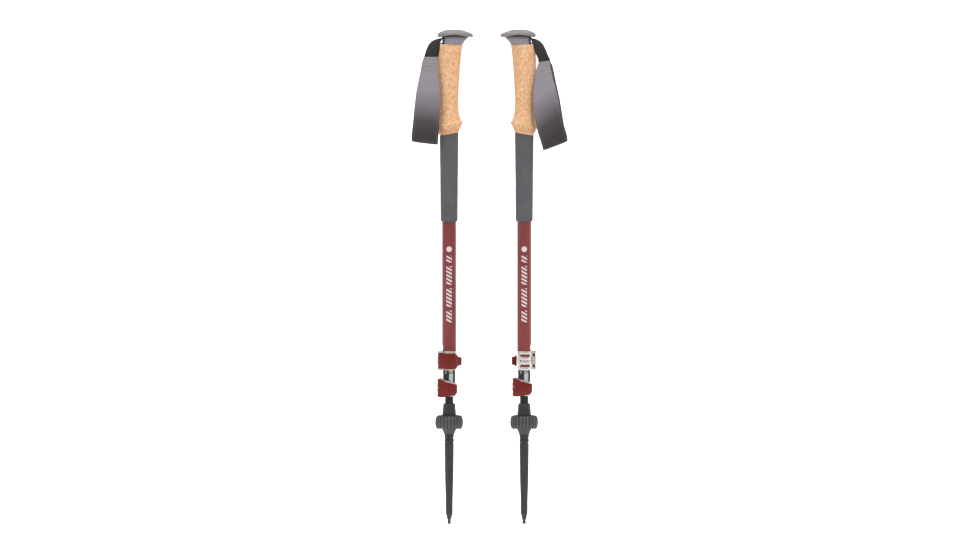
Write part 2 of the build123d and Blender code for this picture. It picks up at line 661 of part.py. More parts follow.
# --- tip and basket ----------------------------------------------------------------
def tip_body():
    """Flexible plastic tip: cone, stub for the basket, rings and a long taper."""
    z_groove = Z_CONE + 2.2
    z_end = Z_CONE_TOP - NECK_DEPTH
    outer = [
        (FERRULE_SHANK_R, Z_TIP), (SEAT_R, Z_TIP), (SEAT_R, Z_FLEX),
        (FLEX_MID_R, Z_FLEX + 0.4 * FLEX_LENGTH), (FLEX_TOP_R, Z_RINGS),
    ]
    z = Z_RINGS
    for _ in range(2):
        outer += [(STUB_R - RING_GROOVE, z + 1.2), (STUB_R - RING_GROOVE, z + 2.6),
                  (STUB_R, z + 3.2), (STUB_R, z + 5.0)]
        z += RING_ZONE / 2
    outer += [
        (STUB_R, Z_CONE), (CONE_R - 0.3, Z_CONE), (CONE_R, Z_CONE + 0.4), (CONE_R, z_groove - 0.4),
        (CONE_R - 0.35, z_groove), (CONE_R - 0.1, z_groove + 0.4),
        (CONE_TOP_R, Z_CONE_TOP - 1.4), (CONE_TOP_R - 0.8, Z_CONE_TOP), (NECK_R, Z_CONE_TOP),
    ]
    inner = [(NECK_R, z_end), (0, z_end), (0, Z_TIP + FERRULE_SHANK), (FERRULE_SHANK_R, Z_TIP + FERRULE_SHANK)]
    return spin(*outer, *inner)


def tip_ferrule():
    """Steel ferrule pressed into the tip body, holding the carbide."""
    return spin(
        (CARBIDE_NECK_R, Z_FERRULE), (FERRULE_END_R, Z_FERRULE),
        (FERRULE_R - 0.5, Z_FERRULE + FERRULE_CONE), (FERRULE_R, Z_FERRULE + FERRULE_CONE + 1.2),
        (FERRULE_R, Z_TIP - 0.8), (FERRULE_R - 0.2, Z_TIP), (FERRULE_SHANK_R, Z_TIP),
        (FERRULE_SHANK_R, Z_TIP + FERRULE_SHANK), (0, Z_TIP + FERRULE_SHANK),
        (0, Z_FERRULE + CARBIDE_SHANK), (CARBIDE_NECK_R, Z_FERRULE + CARBIDE_SHANK),
    )


def carbide_tip():
    """Carbide point: a rod with a dished, toothed end."""
    body = spin(
        (0, 0.9), (CARBIDE_R - 0.7, 0.0), (CARBIDE_R - 0.2, 0.2), (CARBIDE_R, 1.0), (CARBIDE_R, 2.6),
        (CARBIDE_NECK_R, Z_FERRULE - 0.6), (CARBIDE_NECK_R, Z_FERRULE + CARBIDE_SHANK),
        (0, Z_FERRULE + CARBIDE_SHANK),
    )
    for turn in (0, 45, 90, 135):
        body -= Rot(0, 0, turn) * block(-4, 4, -0.3, 0.3, -0.5, 0.5)
    return body


def basket():
    """Small trekking basket: ribbed dome with a toothed rim on a flared hub."""
    bore = STUB_R + BASKET_PLAY
    nest = CONE_R + BASKET_PLAY
    z_seat = Z_CONE - 0.2
    z_top = z_seat + BASKET_NEST
    z_rim = z_top - BASKET_HEIGHT
    z_hub = Z_STUB + 0.8
    rim_r = BASKET_R - RIM_TUCK
    inner_r = BASKET_R - BASKET_WALL
    section = make_face(
        Polyline((bore, 0, z_seat), (bore, 0, z_hub), (bore + 0.4, 0, z_hub))
        + ThreePointArc(
            (bore + 0.4, 0, z_hub),
            (HUB_R - 1.3, 0, z_hub + 2.6),
            (HUB_R + 0.6, 0, z_hub + 6.4),
        )
        + Polyline((HUB_R + 0.6, 0, z_hub + 6.4), (HUB_R + 1.4, 0, z_top - 6.5))
        + ThreePointArc(
            (HUB_R + 1.4, 0, z_top - 6.5),
            (inner_r - 2.8, 0, z_top - 4.6),
            (inner_r - 0.8, 0, z_top - 8.5),
        )
        + Polyline(
            (inner_r - 0.8, 0, z_top - 8.5), (rim_r - BASKET_WALL, 0, z_rim), (rim_r - 0.8, 0, z_rim)
        )
        + ThreePointArc(
            (rim_r - 0.8, 0, z_rim),
            (BASKET_R - 0.8, 0, z_rim + 0.38 * BASKET_HEIGHT),
            (BASKET_R - 1.5, 0, z_top - 4.2),
        )
        + ThreePointArc(
            (BASKET_R - 1.5, 0, z_top - 4.2),
            (BASKET_R - 3.1, 0, z_top - 1.6),
            (BASKET_R - 5.8, 0, z_top - 0.7),
        )
        + Polyline((BASKET_R - 5.8, 0, z_top - 0.7), (nest, 0, z_top - 0.8), (nest, 0, z_seat),
                   (bore, 0, z_seat))
    )
    body = revolve(section, Axis.Z, 360)
    rib = make_face(
        Polyline((nest + 1.0, 0, z_top - 1.2), (nest + 1.6, 0, z_top))
        + Line((nest + 1.6, 0, z_top), (BASKET_R - 5.0, 0, z_top + 0.1))
        + ThreePointArc(
            (BASKET_R - 5.0, 0, z_top + 0.1),
            (BASKET_R - 1.9, 0, z_top - 1.0),
            (BASKET_R - 0.5, 0, z_top - 4.0),
        )
        + ThreePointArc(
            (BASKET_R - 0.5, 0, z_top - 4.0),
            (BASKET_R, 0, z_rim + 0.4 * BASKET_HEIGHT),
            (rim_r + 0.1, 0, z_rim + 0.8),
        )
        + Polyline((rim_r + 0.1, 0, z_rim + 0.8), (rim_r - 0.8, 0, z_rim + 0.8),
                   (inner_r - 0.2, 0, z_top - 7.0), (inner_r - 3.4, 0, z_top - 2.8),
                   (nest + 1.0, 0, z_top - 1.2))
    )
    rib = extrude(rib, amount=RIB_THICK / 2, both=True)
    body = body + [Rot(0, 0, 360 * i / BASKET_TEETH) * rib for i in range(BASKET_TEETH)]
    notch_r = 0.36 * 2 * pi * BASKET_R / BASKET_TEETH
    notch = Pos(BASKET_R, 0, z_rim - 0.1) * Rot(0, 90, 0) * Cylinder(notch_r, 10)
    return body - [Rot(0, 0, 360 * (i + 0.5) / BASKET_TEETH) * notch for i in range(BASKET_TEETH)]


# --- assembly ----------------------------------------------------------------------
def pole_parts(pole):
    """Every piece of one pole as {name: (shape, group)}, tip down at the origin."""
    side = -1 if pole == "a" else 1
    top, bottom = upper_lock(), lower_lock()
    grip = {
        "grip_cap": grip_cap(), "grip_head": grip_head(), "grip_core": grip_core(),
        "cork_grip": cork_grip(), "foam_sleeve": foam_sleeve(), "head_screw": head_screw(),
        "strap_wedge": strap_wedge(), "strap_anchor": strap_anchor(),
        "upper_shaft": upper_shaft(), "upper_lock_collar": top.collar(),
        "upper_lock_pad": top.pad(), "upper_lock_nut": top.nut(),
        "upper_lock_screw": top.screw(), "upper_lock_lever": top.lever(),
    }
    strap = {"strap_webbing": strap_webbing(side, pole), "wrist_loop": wrist_loop(side, pole)}
    middle = {
        "middle_shaft": middle_shaft(), "middle_plug": guide_plug(MIDDLE_R, Z_MIDDLE_TOP),
        "lower_lock_collar": bottom.collar(), "lower_lock_pad": bottom.pad(),
        "lower_lock_nut": bottom.nut(), "lower_lock_screw": bottom.screw(),
        "lower_lock_lever": bottom.lever(),
    }
    lower = {
        "lower_shaft": lower_shaft(), "lower_plug": guide_plug(LOWER_R, Z_LOWER_TOP),
        "tip_body": tip_body(), "tip_ferrule": tip_ferrule(), "carbide_tip": carbide_tip(),
        "basket": basket(),
    }
    # Pole b faces the other way, so its grip is turned half round; straps are built facing
    # the front on both, and the middle section of pole b is turned to match pole a's.
    half_turn = Rot(0, 0, 0 if pole == "a" else 180)
    shut = MIDDLE_GAP["a"] - MIDDLE_GAP[pole]
    drop = LOWER_GAP[pole] - LOWER_GAP["a"]
    placed = {}
    for name, shape in grip.items():
        placed[name] = half_turn * shape
    placed.update(strap)
    for name, shape in middle.items():
        placed[name] = Pos(0, 0, shut) * shape
    for name, shape in lower.items():
        placed[name] = Pos(0, 0, shut - drop) * shape
    return placed


os.makedirs("parts", exist_ok=True)
for pole_name, pole_x in (("a", 0.0), ("b", POLE_SPACING)):
    for node, shape in pole_parts(pole_name).items():
        export_step(Pos(pole_x, 0, -Z_HOLD) * shape, f"parts/{node}_{pole_name}.step")
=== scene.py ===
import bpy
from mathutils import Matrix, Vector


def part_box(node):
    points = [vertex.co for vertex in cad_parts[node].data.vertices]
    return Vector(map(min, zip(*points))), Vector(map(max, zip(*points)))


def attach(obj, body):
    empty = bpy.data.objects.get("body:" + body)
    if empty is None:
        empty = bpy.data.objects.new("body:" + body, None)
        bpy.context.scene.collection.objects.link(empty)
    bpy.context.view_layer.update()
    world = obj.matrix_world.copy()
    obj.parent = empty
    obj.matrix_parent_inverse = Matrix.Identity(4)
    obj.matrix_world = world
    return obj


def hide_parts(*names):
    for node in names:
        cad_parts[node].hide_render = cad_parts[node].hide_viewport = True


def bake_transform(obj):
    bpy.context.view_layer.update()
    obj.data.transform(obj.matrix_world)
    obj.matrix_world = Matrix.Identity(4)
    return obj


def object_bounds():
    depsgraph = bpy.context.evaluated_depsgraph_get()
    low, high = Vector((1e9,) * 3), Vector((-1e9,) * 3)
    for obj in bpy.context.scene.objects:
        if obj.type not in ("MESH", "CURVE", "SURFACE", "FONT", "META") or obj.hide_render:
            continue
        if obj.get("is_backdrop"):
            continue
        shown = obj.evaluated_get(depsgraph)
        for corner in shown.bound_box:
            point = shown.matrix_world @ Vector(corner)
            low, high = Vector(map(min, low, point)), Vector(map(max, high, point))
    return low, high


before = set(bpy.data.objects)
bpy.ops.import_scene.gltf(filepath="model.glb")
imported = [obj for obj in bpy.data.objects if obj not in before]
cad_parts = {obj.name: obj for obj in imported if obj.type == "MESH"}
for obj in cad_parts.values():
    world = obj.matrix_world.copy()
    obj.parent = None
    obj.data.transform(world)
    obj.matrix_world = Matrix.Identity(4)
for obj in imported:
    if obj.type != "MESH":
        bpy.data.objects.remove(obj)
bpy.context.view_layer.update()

from math import cos, pi, radians, sin

import bmesh
import bpy
import numpy as np
from mathutils import Vector

# --- Studio and camera -------------------------------------------------------------
# The poles stand on their tips on the floor of a round white paper cove, under a white
# sky and three large soft lights. The camera stands straight in front of the pair.
MM = 0.001
CAMERA_AWAY = 8.0
CAMERA_RISE = radians(3)
VIEW_WIDTH = 1.2635
SENSOR_WIDTH = 36.0
AIM_ASIDE, AIM_UP = 3.0, 2.9
SKY_STRENGTH = 0.5

low, high = (np.array(corner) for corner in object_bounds())
axis_x = {pole: sum(c[0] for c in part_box(f"upper_shaft_{pole}")) / 2 for pole in "ab"}
tip_z = {pole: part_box(f"carbide_tip_{pole}")[0][2] for pole in "ab"}
turn = {"a": 1, "b": -1}

stage_scene = bpy.context.scene
stage_scene.view_settings.view_transform = "Standard"
aim_x = (axis_x["a"] + axis_x["b"]) / 2 + AIM_ASIDE * MM
aim = Vector((aim_x, 0, (low[2] + high[2]) / 2 + AIM_UP * MM))
camera_data = bpy.data.cameras.new("camera")
camera_data.sensor_width = SENSOR_WIDTH
camera_data.lens = SENSOR_WIDTH * CAMERA_AWAY / VIEW_WIDTH
camera_data.clip_end = 100
camera = bpy.data.objects.new("camera", camera_data)
camera.location = aim + CAMERA_AWAY * Vector((0, -cos(CAMERA_RISE), sin(CAMERA_RISE)))
camera.rotation_euler = (aim - camera.location).to_track_quat("-Z", "Y").to_euler()
stage_scene.collection.objects.link(camera)
stage_scene.camera = camera


def soft_light(name, place, size, watts):
    """A square area light at place, turned to face the middle of the poles."""
    data = bpy.data.lights.new(name, "AREA")
    data.shape, data.size, data.energy = "SQUARE", size, watts
    light = bpy.data.objects.new(name, data)
    light.location = place
    light.rotation_euler = (aim - light.location).to_track_quat("-Z", "Y").to_euler()
    stage_scene.collection.objects.link(light)


soft_light("key_softbox", (0.9, -1.7, 2.1), 1.3, 44)
soft_light("fill_softbox", (-1.6, -1.7, 1.3), 1.5, 18)
soft_light("top_softbox", (0.1, -0.2, 2.6), 1.6, 44)


class Value:
    """A socket of numbers. Python's arithmetic on it adds Math nodes."""

    def __init__(self, finish, socket):
        self.finish, self.socket = finish, socket

    def math(self, operation, *others):
        """A Math node of this value and the others."""
        return self.finish.node("Math", {"operation": operation}, (self, *others))

    def __add__(self, other):
        return self.math("ADD", other)

    def __sub__(self, other):
        return self.math("SUBTRACT", other)

    def __rsub__(self, other):
        return self * -1 + other

    def __mul__(self, other):
        return self.math("MULTIPLY", other)

    def __truediv__(self, other):
        return self.math("DIVIDE", other)

    def __mod__(self, other):
        return self.math("FLOORED_MODULO", other)

    def __abs__(self):
        return self.math("ABSOLUTE")

    def __lt__(self, other):
        return self.math("LESS_THAN", other)

    def __gt__(self, other):
        return self.math("GREATER_THAN", other)

    __radd__, __rmul__ = __add__, __mul__


class Finish:
    """A material: one Principled shader, and node() for everything that feeds it."""

    def __init__(self, name, **numbers):
        self.material = bpy.data.materials.new(name)
        self.material.use_nodes = True
        self.nodes = self.material.node_tree.nodes
        self.shader = self.nodes["Principled BSDF"]
        self.set(**numbers)

    def node(self, kind, settings=None, inputs=(), output=0):
        """Adds a node, applies its settings, then fills or links its sockets."""
        node = self.nodes.new("ShaderNode" + kind)
        for key, value in (settings or {}).items():
            if key == "stops":
                ramp = node.color_ramp
                while len(ramp.elements) < len(value):
                    ramp.elements.new(0.5)
                for element, (place, shade) in zip(ramp.elements, value):
                    element.position, element.color = place, (*shade, 1)
            else:
                setattr(node, key, value)
        pairs = inputs.items() if isinstance(inputs, dict) else enumerate(inputs)
        for key, value in pairs:
            self.feed(node.inputs[key], value)
        return Value(self, node.outputs[output])

    def feed(self, socket, value):
        """Links a Value to a socket, or writes a plain number or colour into it."""
        if isinstance(value, Value):
            self.material.node_tree.links.new(value.socket, socket)
        else:
            socket.default_value = (*value, 1) if socket.type == "RGBA" else value

    def set(self, **values):
        """Feeds the shader: base_color=..., roughness=... name its sockets."""
        names = {"ior": "IOR", "specular": "Specular IOR Level"}
        for key, value in values.items():
            name = names.get(key, key.replace("_", " ").title())
            self.feed(self.shader.inputs[name], value)

    def place(self):
        """Object coordinates."""
        return self.node("TexCoord", output="Object")

    def stretched(self, scale):
        """Object coordinates scaled along X, Y and Z."""
        return self.node("Mapping", {}, {"Vector": self.place(), "Scale": scale})

    def axes(self, vector):
        """The three parts of a vector as Values."""
        split = self.node("SeparateXYZ", {}, [vector])
        parts = split.socket.node.outputs
        return [Value(self, parts[i]) for i in range(3)]

    def noise(self, vector, scale, detail=2.0, roughness=0.5):
        """Noise from 0 to 1."""
        inputs = {"Vector": vector, "Scale": scale, "Detail": detail, "Roughness": roughness}
        return self.node("TexNoise", {}, inputs)

    def ramp(self, value, *stops):
        """A colour ramp of (place, colour) stops."""
        return self.node("ValToRGB", {"stops": stops}, [value])

    def mix(self, share, first, second):
        """A colour between two, by share."""
        return self.node("Mix", {"data_type": "RGBA"}, {0: share, 6: first, 7: second}, output=2)

    def bump(self, height, depth):
        """Raises the surface by height times depth in metres."""
        self.set(normal=self.node("Bump", {}, {"Height": height, "Distance": depth}))


RING = np.linspace(0, 2 * pi, 96, endpoint=False)


def smooth(x, xs, ys):
    """Cubic curve through the points (xs, ys). Its slope at a point is the harmonic mean
    of the slopes on both sides, and zero at a peak, so that it never overshoots."""
    x, xs, ys = np.asarray(x, float), np.asarray(xs, float), np.asarray(ys, float)
    run, slope = np.diff(xs), np.diff(ys) / np.diff(xs)
    product, total = slope[1:] * slope[:-1], slope[1:] + slope[:-1]
    inner = np.where(product > 0, 2 * product / np.where(total == 0, 1, total), 0)
    m = np.concatenate([slope[:1], inner, slope[-1:]])
    i = np.clip(np.searchsorted(xs, x, side="right") - 1, 0, len(run) - 1)
    t = (x - xs[i]) / run[i]
    ends = ys[i] * (1 + 2 * t) * (1 - t) ** 2 + ys[i + 1] * t**2 * (3 - 2 * t)
    return ends + run[i] * (m[i] * t * (1 - t) ** 2 + m[i + 1] * t**2 * (t - 1))


def surface(name, grid, finish, closed=True, uv=None, crease=40):
    """A piece from a grid of points in millimetres, rows by columns. Each row is a ring,
    and closed=True joins the last row to the first as well. Rows that shrink to one
    point close it too. Faces are turned to point outwards."""
    rows, columns = grid.shape[:2]
    index = np.arange(rows * columns).reshape(rows, columns)
    across, up = np.roll(index, -1, axis=1), np.roll(index, -1, axis=0)
    quads = np.stack([index, across, np.roll(up, -1, axis=1), up], axis=-1)
    quads = (quads if closed else quads[:-1]).reshape(-1, 4)
    points = grid.reshape(-1, 3) * MM
    a, b, c, d = (points[quads[:, i]] - points.mean(axis=0) for i in range(4))
    if np.sum(np.cross(c - a, d - b) * (a + b + c + d)) < 0:
        quads = quads[:, ::-1]
    mesh = bpy.data.meshes.new(name)
    mesh.from_pydata(points, [], quads.tolist())
    if uv is not None:
        layer = mesh.uv_layers.new(name="UVMap")
        layer.data.foreach_set("uv", uv.reshape(-1, 2)[quads.reshape(-1)].ravel())
    mesh.shade_smooth()
    mesh.set_sharp_from_angle(angle=radians(crease))
    mesh.materials.append(finish.material)
    piece = bpy.data.objects.new(name, mesh)
    stage_scene.collection.objects.link(piece)
    return piece


COVE_FLOOR, COVE_BEND, COVE_WALL = 12000, 3000, 4000
bend = np.linspace(0, pi / 2, 24)
cove_reach = np.concatenate(
    [[0, COVE_BEND], COVE_FLOOR + COVE_BEND * np.sin(bend), [COVE_FLOOR + COVE_BEND]]
)
cove_rise = np.concatenate([[0, 0], COVE_BEND * (1 - np.cos(bend)), [COVE_BEND + COVE_WALL]])
cove_grid = np.stack(
    np.broadcast_arrays(
        cove_reach[:, None] * np.cos(RING), cove_reach[:, None] * np.sin(RING), cove_rise[:, None]
    ),
    axis=-1,
) + np.array([0, 0, low[2] / MM - 0.2])
# The paper is white behind the poles and greyer in front of them.
paper = Finish("cove_paper", roughness=0.9, emission_strength=1.0)
_, cove_y, _ = paper.axes(paper.place())
behind = cove_y * (1 / 1.5) + 0.9
paper.set(
    base_color=paper.ramp(behind, (0.0, (0.5, 0.5, 0.5)), (1.0, (0.9, 0.9, 0.9))),
    emission_color=paper.ramp(behind, (0.0, (0.12, 0.12, 0.12)), (1.0, (0.75, 0.75, 0.75))),
)
surface("cove", cove_grid, paper, closed=False)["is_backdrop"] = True

sky = bpy.data.worlds.new("sky")
sky.use_nodes = True
sky.node_tree.nodes["Background"].inputs["Color"].default_value = (1, 1, 1, 1)
sky.node_tree.nodes["Background"].inputs["Strength"].default_value = SKY_STRENGTH
stage_scene.world = sky


# --- Cork grips --------------------------------------------------------------------
# Each grip is moulded from cork granules in binder and glued over a plastic sleeve. It
# is bored for the sleeve, waisted for the fingers and ends in a flare whose ridge is
# higher at the front than at the back.
CORK_SECTIONS = np.array([
    # share of the height, front reach, back reach, half width, drop of the back
    (0.000, 12.3, 12.3, 12.3, 4.0),
    (0.034, 13.9, 13.6, 13.1, 4.9),
    (0.064, 15.8, 15.2, 14.4, 5.7),
    (0.090, 17.5, 16.2, 15.5, 6.2),
    (0.102, 17.8, 16.3, 15.7, 6.2),
    (0.114, 17.2, 16.1, 15.4, 6.2),
    (0.130, 15.7, 15.5, 14.7, 6.0),
    (0.150, 14.7, 15.1, 14.2, 5.8),
    (0.190, 13.5, 14.7, 13.4, 5.2),
    (0.250, 12.5, 14.6, 12.8, 4.0),
    (0.380, 12.2, 15.2, 12.7, 2.8),
    (0.600, 13.3, 15.9, 12.9, 1.0),
    (0.820, 15.1, 15.2, 13.2, 0.0),
    (1.000, 17.3, 14.1, 13.5, 0.0),
])
CORK_BORE = 10.6
CORK_EDGE = 0.7
CORNER_IN = 9.4
CORNER_SLOPE = 4.4 / 6.0


def on_pole(pole, forward, sideways, height):
    """Grid of points in the set's own frame, from one pole's own directions."""
    points = np.stack(np.broadcast_arrays(forward, sideways, height), axis=-1).astype(float)
    points[..., :2] *= turn[pole]
    points[..., 0] += axis_x[pole] / MM
    points[..., 2] += tip_z[pole] / MM
    return points


def height_of(node, pole, end):
    """Height of a CAD node's lower (0) or upper (1) end above the tip, in millimetres."""
    return (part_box(f"{node}_{pole}")[end][2] - tip_z[pole]) / MM


cork_foot = height_of("cork_grip", "a", 0) + CORK_SECTIONS[0, 4] / 2
cork_top = height_of("cork_grip", "a", 1)


def oval_rows(share, sections, foot, top, ring=RING):
    """Rows of ellipses up the grip. Each has its own front reach, back reach and half
    width, and tilts so that its back lies lower than its front by its drop."""
    front, back, half, drop = (
        smooth(share, sections[:, 0], sections[:, i])[:, None] for i in (1, 2, 3, 4)
    )
    forward = (front - back) / 2 + (front + back) / 2 * np.cos(ring)
    height = foot + share[:, None] * (top - foot) + drop / 2 * np.cos(ring)
    return forward, half * np.sin(ring), height


def cork_grid(pole):
    """Outside rows up the grip, rounded at each end, and the bore. A slanted plane cuts
    the back corner at the top, where the strap comes out."""
    share = np.concatenate([np.linspace(0, 0.3, 70), np.linspace(0.31, 1, 90)])
    forward, sideways, height = oval_rows(share, CORK_SECTIONS, cork_foot, cork_top)
    tuck = CORK_EDGE * np.array([1.0, 0.35, 0.0])[:, None]
    rise = CORK_EDGE - np.sqrt(CORK_EDGE**2 - (CORK_EDGE - tuck) ** 2)
    reach = np.hypot(forward, sideways)
    foot = 1 - tuck / reach[:1]
    top = 1 - tuck[::-1] / reach[-1:]
    bore = CORK_BORE / reach[:1]
    bore_top = CORK_BORE / reach[-1:]
    scale = np.concatenate([foot, np.ones((len(share) - 6, 1)) + 0 * RING, top])
    pick = [0, 0, 0, *range(3, len(share) - 3), -1, -1, -1]
    forward, sideways, height = forward[pick], sideways[pick], height[pick]
    height = height + np.concatenate([rise, 0 * share[3:-3, None], -rise[::-1]])
    rows = [forward * scale, sideways * scale, height]
    caps = [(row[-1:] * bore_top, row[:1] * bore) for row in (forward, sideways)]
    forward, sideways = (np.concatenate([row, *cap]) for row, cap in zip(rows, caps))
    height = np.concatenate([height, height[-1:], height[:1]])
    corner = cork_top - (-forward - CORNER_IN) * CORNER_SLOPE
    height = np.where(forward < -CORNER_IN, np.minimum(height, corner), height)
    return on_pole(pole, forward, sideways, height)


GRANULE_SCALE, GRANULE_SEAM_SCALE, FLECK_SCALE = 900.0, 720.0, 560.0
cork = Finish("cork_composite", roughness=0.82, specular=0.25)
granules = {"Vector": cork.stretched((1, 1, 0.62)), "Scale": GRANULE_SCALE}
granule = cork.node("TexVoronoi", {"feature": "F1"}, granules, "Color")
shade_of_granule = cork.axes(granule)[0]
grain = cork.noise(cork.place(), 2600.0, 3.0, 0.6)
broad = cork.noise(cork.place(), 90.0, 2.0)
tone = shade_of_granule * 0.58 + grain * 0.4 + broad * 0.16 - 0.04
cork_colour = cork.ramp(
    tone,
    (0.05, (0.40, 0.17, 0.055)),
    (0.3, (0.58, 0.30, 0.14)),
    (0.6, (0.69, 0.415, 0.235)),
    (1.0, (0.82, 0.575, 0.39)),
)
flecks = {"Vector": cork.stretched((1, 1, 0.45)), "Scale": FLECK_SCALE}
fleck_cell = cork.node("TexVoronoi", {"feature": "F1"}, flecks)
fleck_mask = (fleck_cell < 0.17) * (cork.noise(cork.place(), 420.0) > 0.5)
# Painted shade: a darker orange-brown band on the lower side of the flare's ridge, centred about 5 mm above
# the cork's foot, where the ridge shades the cork.
_, _, cork_z = cork.axes(cork.place())
painted_shade_under_flare = (cork_z - tip_z["a"] - (cork_foot + 5.0) * MM) * (1 / 0.005)
painted_shade_under_flare = (1 - abs(painted_shade_under_flare)).math("MAXIMUM", 0.0) * 0.35
cork_colour = cork.mix(painted_shade_under_flare, cork_colour, (0.50, 0.20, 0.075))
cork.set(base_color=cork.mix(fleck_mask * 0.55, cork_colour, (0.36, 0.13, 0.045)))
seams = {"Vector": cork.stretched((1, 1, 0.62)), "Scale": GRANULE_SEAM_SCALE}
granule_edge = cork.node("TexVoronoi", {"feature": "DISTANCE_TO_EDGE"}, seams)
seam = (granule_edge * 6).math("MINIMUM", 1.0)
cork.bump(seam * 0.5 + grain * 0.7 - fleck_mask * 1.2, 0.00022)

for pole in "ab":
    grip = surface(f"cork_grip_piece_{pole}", cork_grid(pole), cork)
    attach(grip, f"pole_{pole}")
    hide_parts(f"cork_grip_{pole}")


# --- Foam sleeves ------------------------------------------------------------------
# A long closed-cell foam tube is pushed over the shaft under the cork, so that the hand
# can go lower. Its top is cut to the cork's slant and its lower end is rounded.
FOAM_TOP_R, FOAM_END_R, FOAM_LIP_R = 12.05, 10.9, 9.8
FOAM_ROUND = 3.5
foam_foot = height_of("foam_sleeve", "a", 0)
shaft_r = (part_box("upper_shaft_a")[1][0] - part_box("upper_shaft_a")[0][0]) / 2 / MM


def foam_grid(pole):
    """Rings up the sleeve: a rounded foot, a slow taper with a faint unevenness of a
    tenth of a millimetre, a top that tilts as the cork's foot does, and the bore."""
    share = np.concatenate([[0, 0], np.linspace(0, 1, 90) ** 1.15, [1]])[:, None]
    length = cork_foot - foam_foot - 0.1
    bend = np.clip(share * length / FOAM_ROUND, 0, 1)
    lip = FOAM_LIP_R - FOAM_END_R
    radius = FOAM_END_R + (FOAM_TOP_R - FOAM_END_R) * share + lip * (1 - np.sqrt(bend * (2 - bend)))
    sway = np.sin(9 * share + 2 * RING) + np.sin(23 * share - 3 * RING + 1)
    radius = radius + 0.05 * sway * np.sin(pi * share)
    radius[0], radius[-1] = shaft_r, shaft_r
    height = foam_foot + share * (length + CORK_SECTIONS[0, 4] / 2 * np.cos(RING))
    return on_pole(pole, radius * np.cos(RING), radius * np.sin(RING), height)


foam = Finish("closed_cell_foam", roughness=0.88, specular=0.2)
pits = foam.node("TexVoronoi", {"feature": "F1"}, {"Vector": foam.place(), "Scale": 1500.0})
foam_grain = foam.noise(foam.place(), 3200.0, 3.0, 0.65)
foam_cloud = foam.noise(foam.place(), 60.0)
foam.set(
    base_color=foam.ramp(
        foam_grain * 0.5 + foam_cloud * 0.3 + pits * 0.5,
        (0.2, (0.045, 0.046, 0.05)),
        (0.6, (0.082, 0.084, 0.09)),
        (1.0, (0.125, 0.128, 0.135)),
    )
)
foam.bump(pits * 0.7 + foam_grain * 0.6, 0.00018)

for pole in "ab":
    sleeve = surface(f"foam_sleeve_piece_{pole}", foam_grid(pole), foam)
    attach(sleeve, f"pole_{pole}")
    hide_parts(f"foam_sleeve_{pole}")


# --- Grip heads and palm caps ------------------------------------------------------
# The top of the grip is moulded in warm grey plastic: a waisted neck with a mouth at the
# back for the strap, and a shallow palm cap with a beak that droops at both ends.
NECK_SECTIONS = np.array([
    # share of the height, front reach, back reach, half width, drop of the back
    (0.00, 17.4, 9.3, 13.4, 0.0),
    (0.12, 18.4, 9.4, 13.0, 0.0),
    (0.34, 20.0, 9.3, 12.3, 0.0),
    (0.58, 22.4, 9.3, 11.9, 0.0),
    (0.78, 24.4, 9.4, 11.6, 0.0),
    (0.88, 24.8, 9.2, 11.0, 0.0),
    (1.00, 25.6, 9.6, 10.8, 0.0),
])
CAP_SECTIONS = np.array([
    (0.00, 30.3, 14.3, 14.3, 0.0),
    (0.08, 30.9, 14.9, 14.9, 0.0),
    (0.25, 30.9, 14.9, 15.0, 0.0),
    (0.42, 29.9, 14.4, 14.4, 0.0),
    (0.54, 27.3, 13.2, 13.2, 0.0),
    (0.68, 23.6, 10.8, 11.4, 0.0),
    (0.83, 19.8, 7.1, 8.8, 0.0),
    (0.96, 14.6, 2.1, 4.6, 0.0),
    (1.00, 6.4, -6.3, 0.02, 0.0),
])
CAP_DROOP = 1.5
MOUTH_LOW, MOUTH_HIGH, MOUTH_HALF, MOUTH_DEPTH = 1.0, 8.6, 8.3, 1.5
neck_foot = cork_top
cap_top = height_of("grip_cap", "a", 1)
cap_foot = height_of("grip_cap", "a", 0)


def neck_grid(pole):
    """Ovals up the neck. Between the mouth's four edges the surface is carried inward to
    a flat floor, with doubled rows and columns at the edges to keep them sharp."""
    mouth_turn = np.arcsin(MOUTH_HALF / 12.6)
    ring = np.sort(np.append(RING, [pi - mouth_turn, pi - mouth_turn, pi + mouth_turn, pi + mouth_turn]))
    inside = np.abs(ring - pi) < mouth_turn + 1e-9
    for edge in (pi - mouth_turn, pi + mouth_turn):
        twin = np.flatnonzero(np.isclose(ring, edge))
        inside[twin] = [edge > pi, edge < pi]
    tall = cap_foot - neck_foot + CAP_DROOP + 1
    lip_low, lip_high = MOUTH_LOW / tall, MOUTH_HIGH / tall
    share = np.sort(np.append(np.linspace(0, 1, 60), [lip_low, lip_low, lip_high, lip_high]))
    row_inside = (share > lip_low) & (share < lip_high)
    row_inside[np.flatnonzero(share == lip_low)[1]] = True
    row_inside[np.flatnonzero(share == lip_high)[0]] = True
    forward, sideways, height = oval_rows(share, NECK_SECTIONS, neck_foot, neck_foot + tall, ring)
    height = height - CAP_DROOP * np.cos(2 * ring) * share[:, None] ** 2
    height = np.where(inside & row_inside[:, None], neck_foot + share[:, None] * tall, height)
    forward = np.where(inside & row_inside[:, None], -MOUTH_DEPTH, forward)
    shut = [np.concatenate([0 * row[:1], row, 0 * row[:1]]) for row in (forward, sideways)]
    height = np.concatenate([height[:1], height, height[-1:]])
    return on_pole(pole, *shut, height)


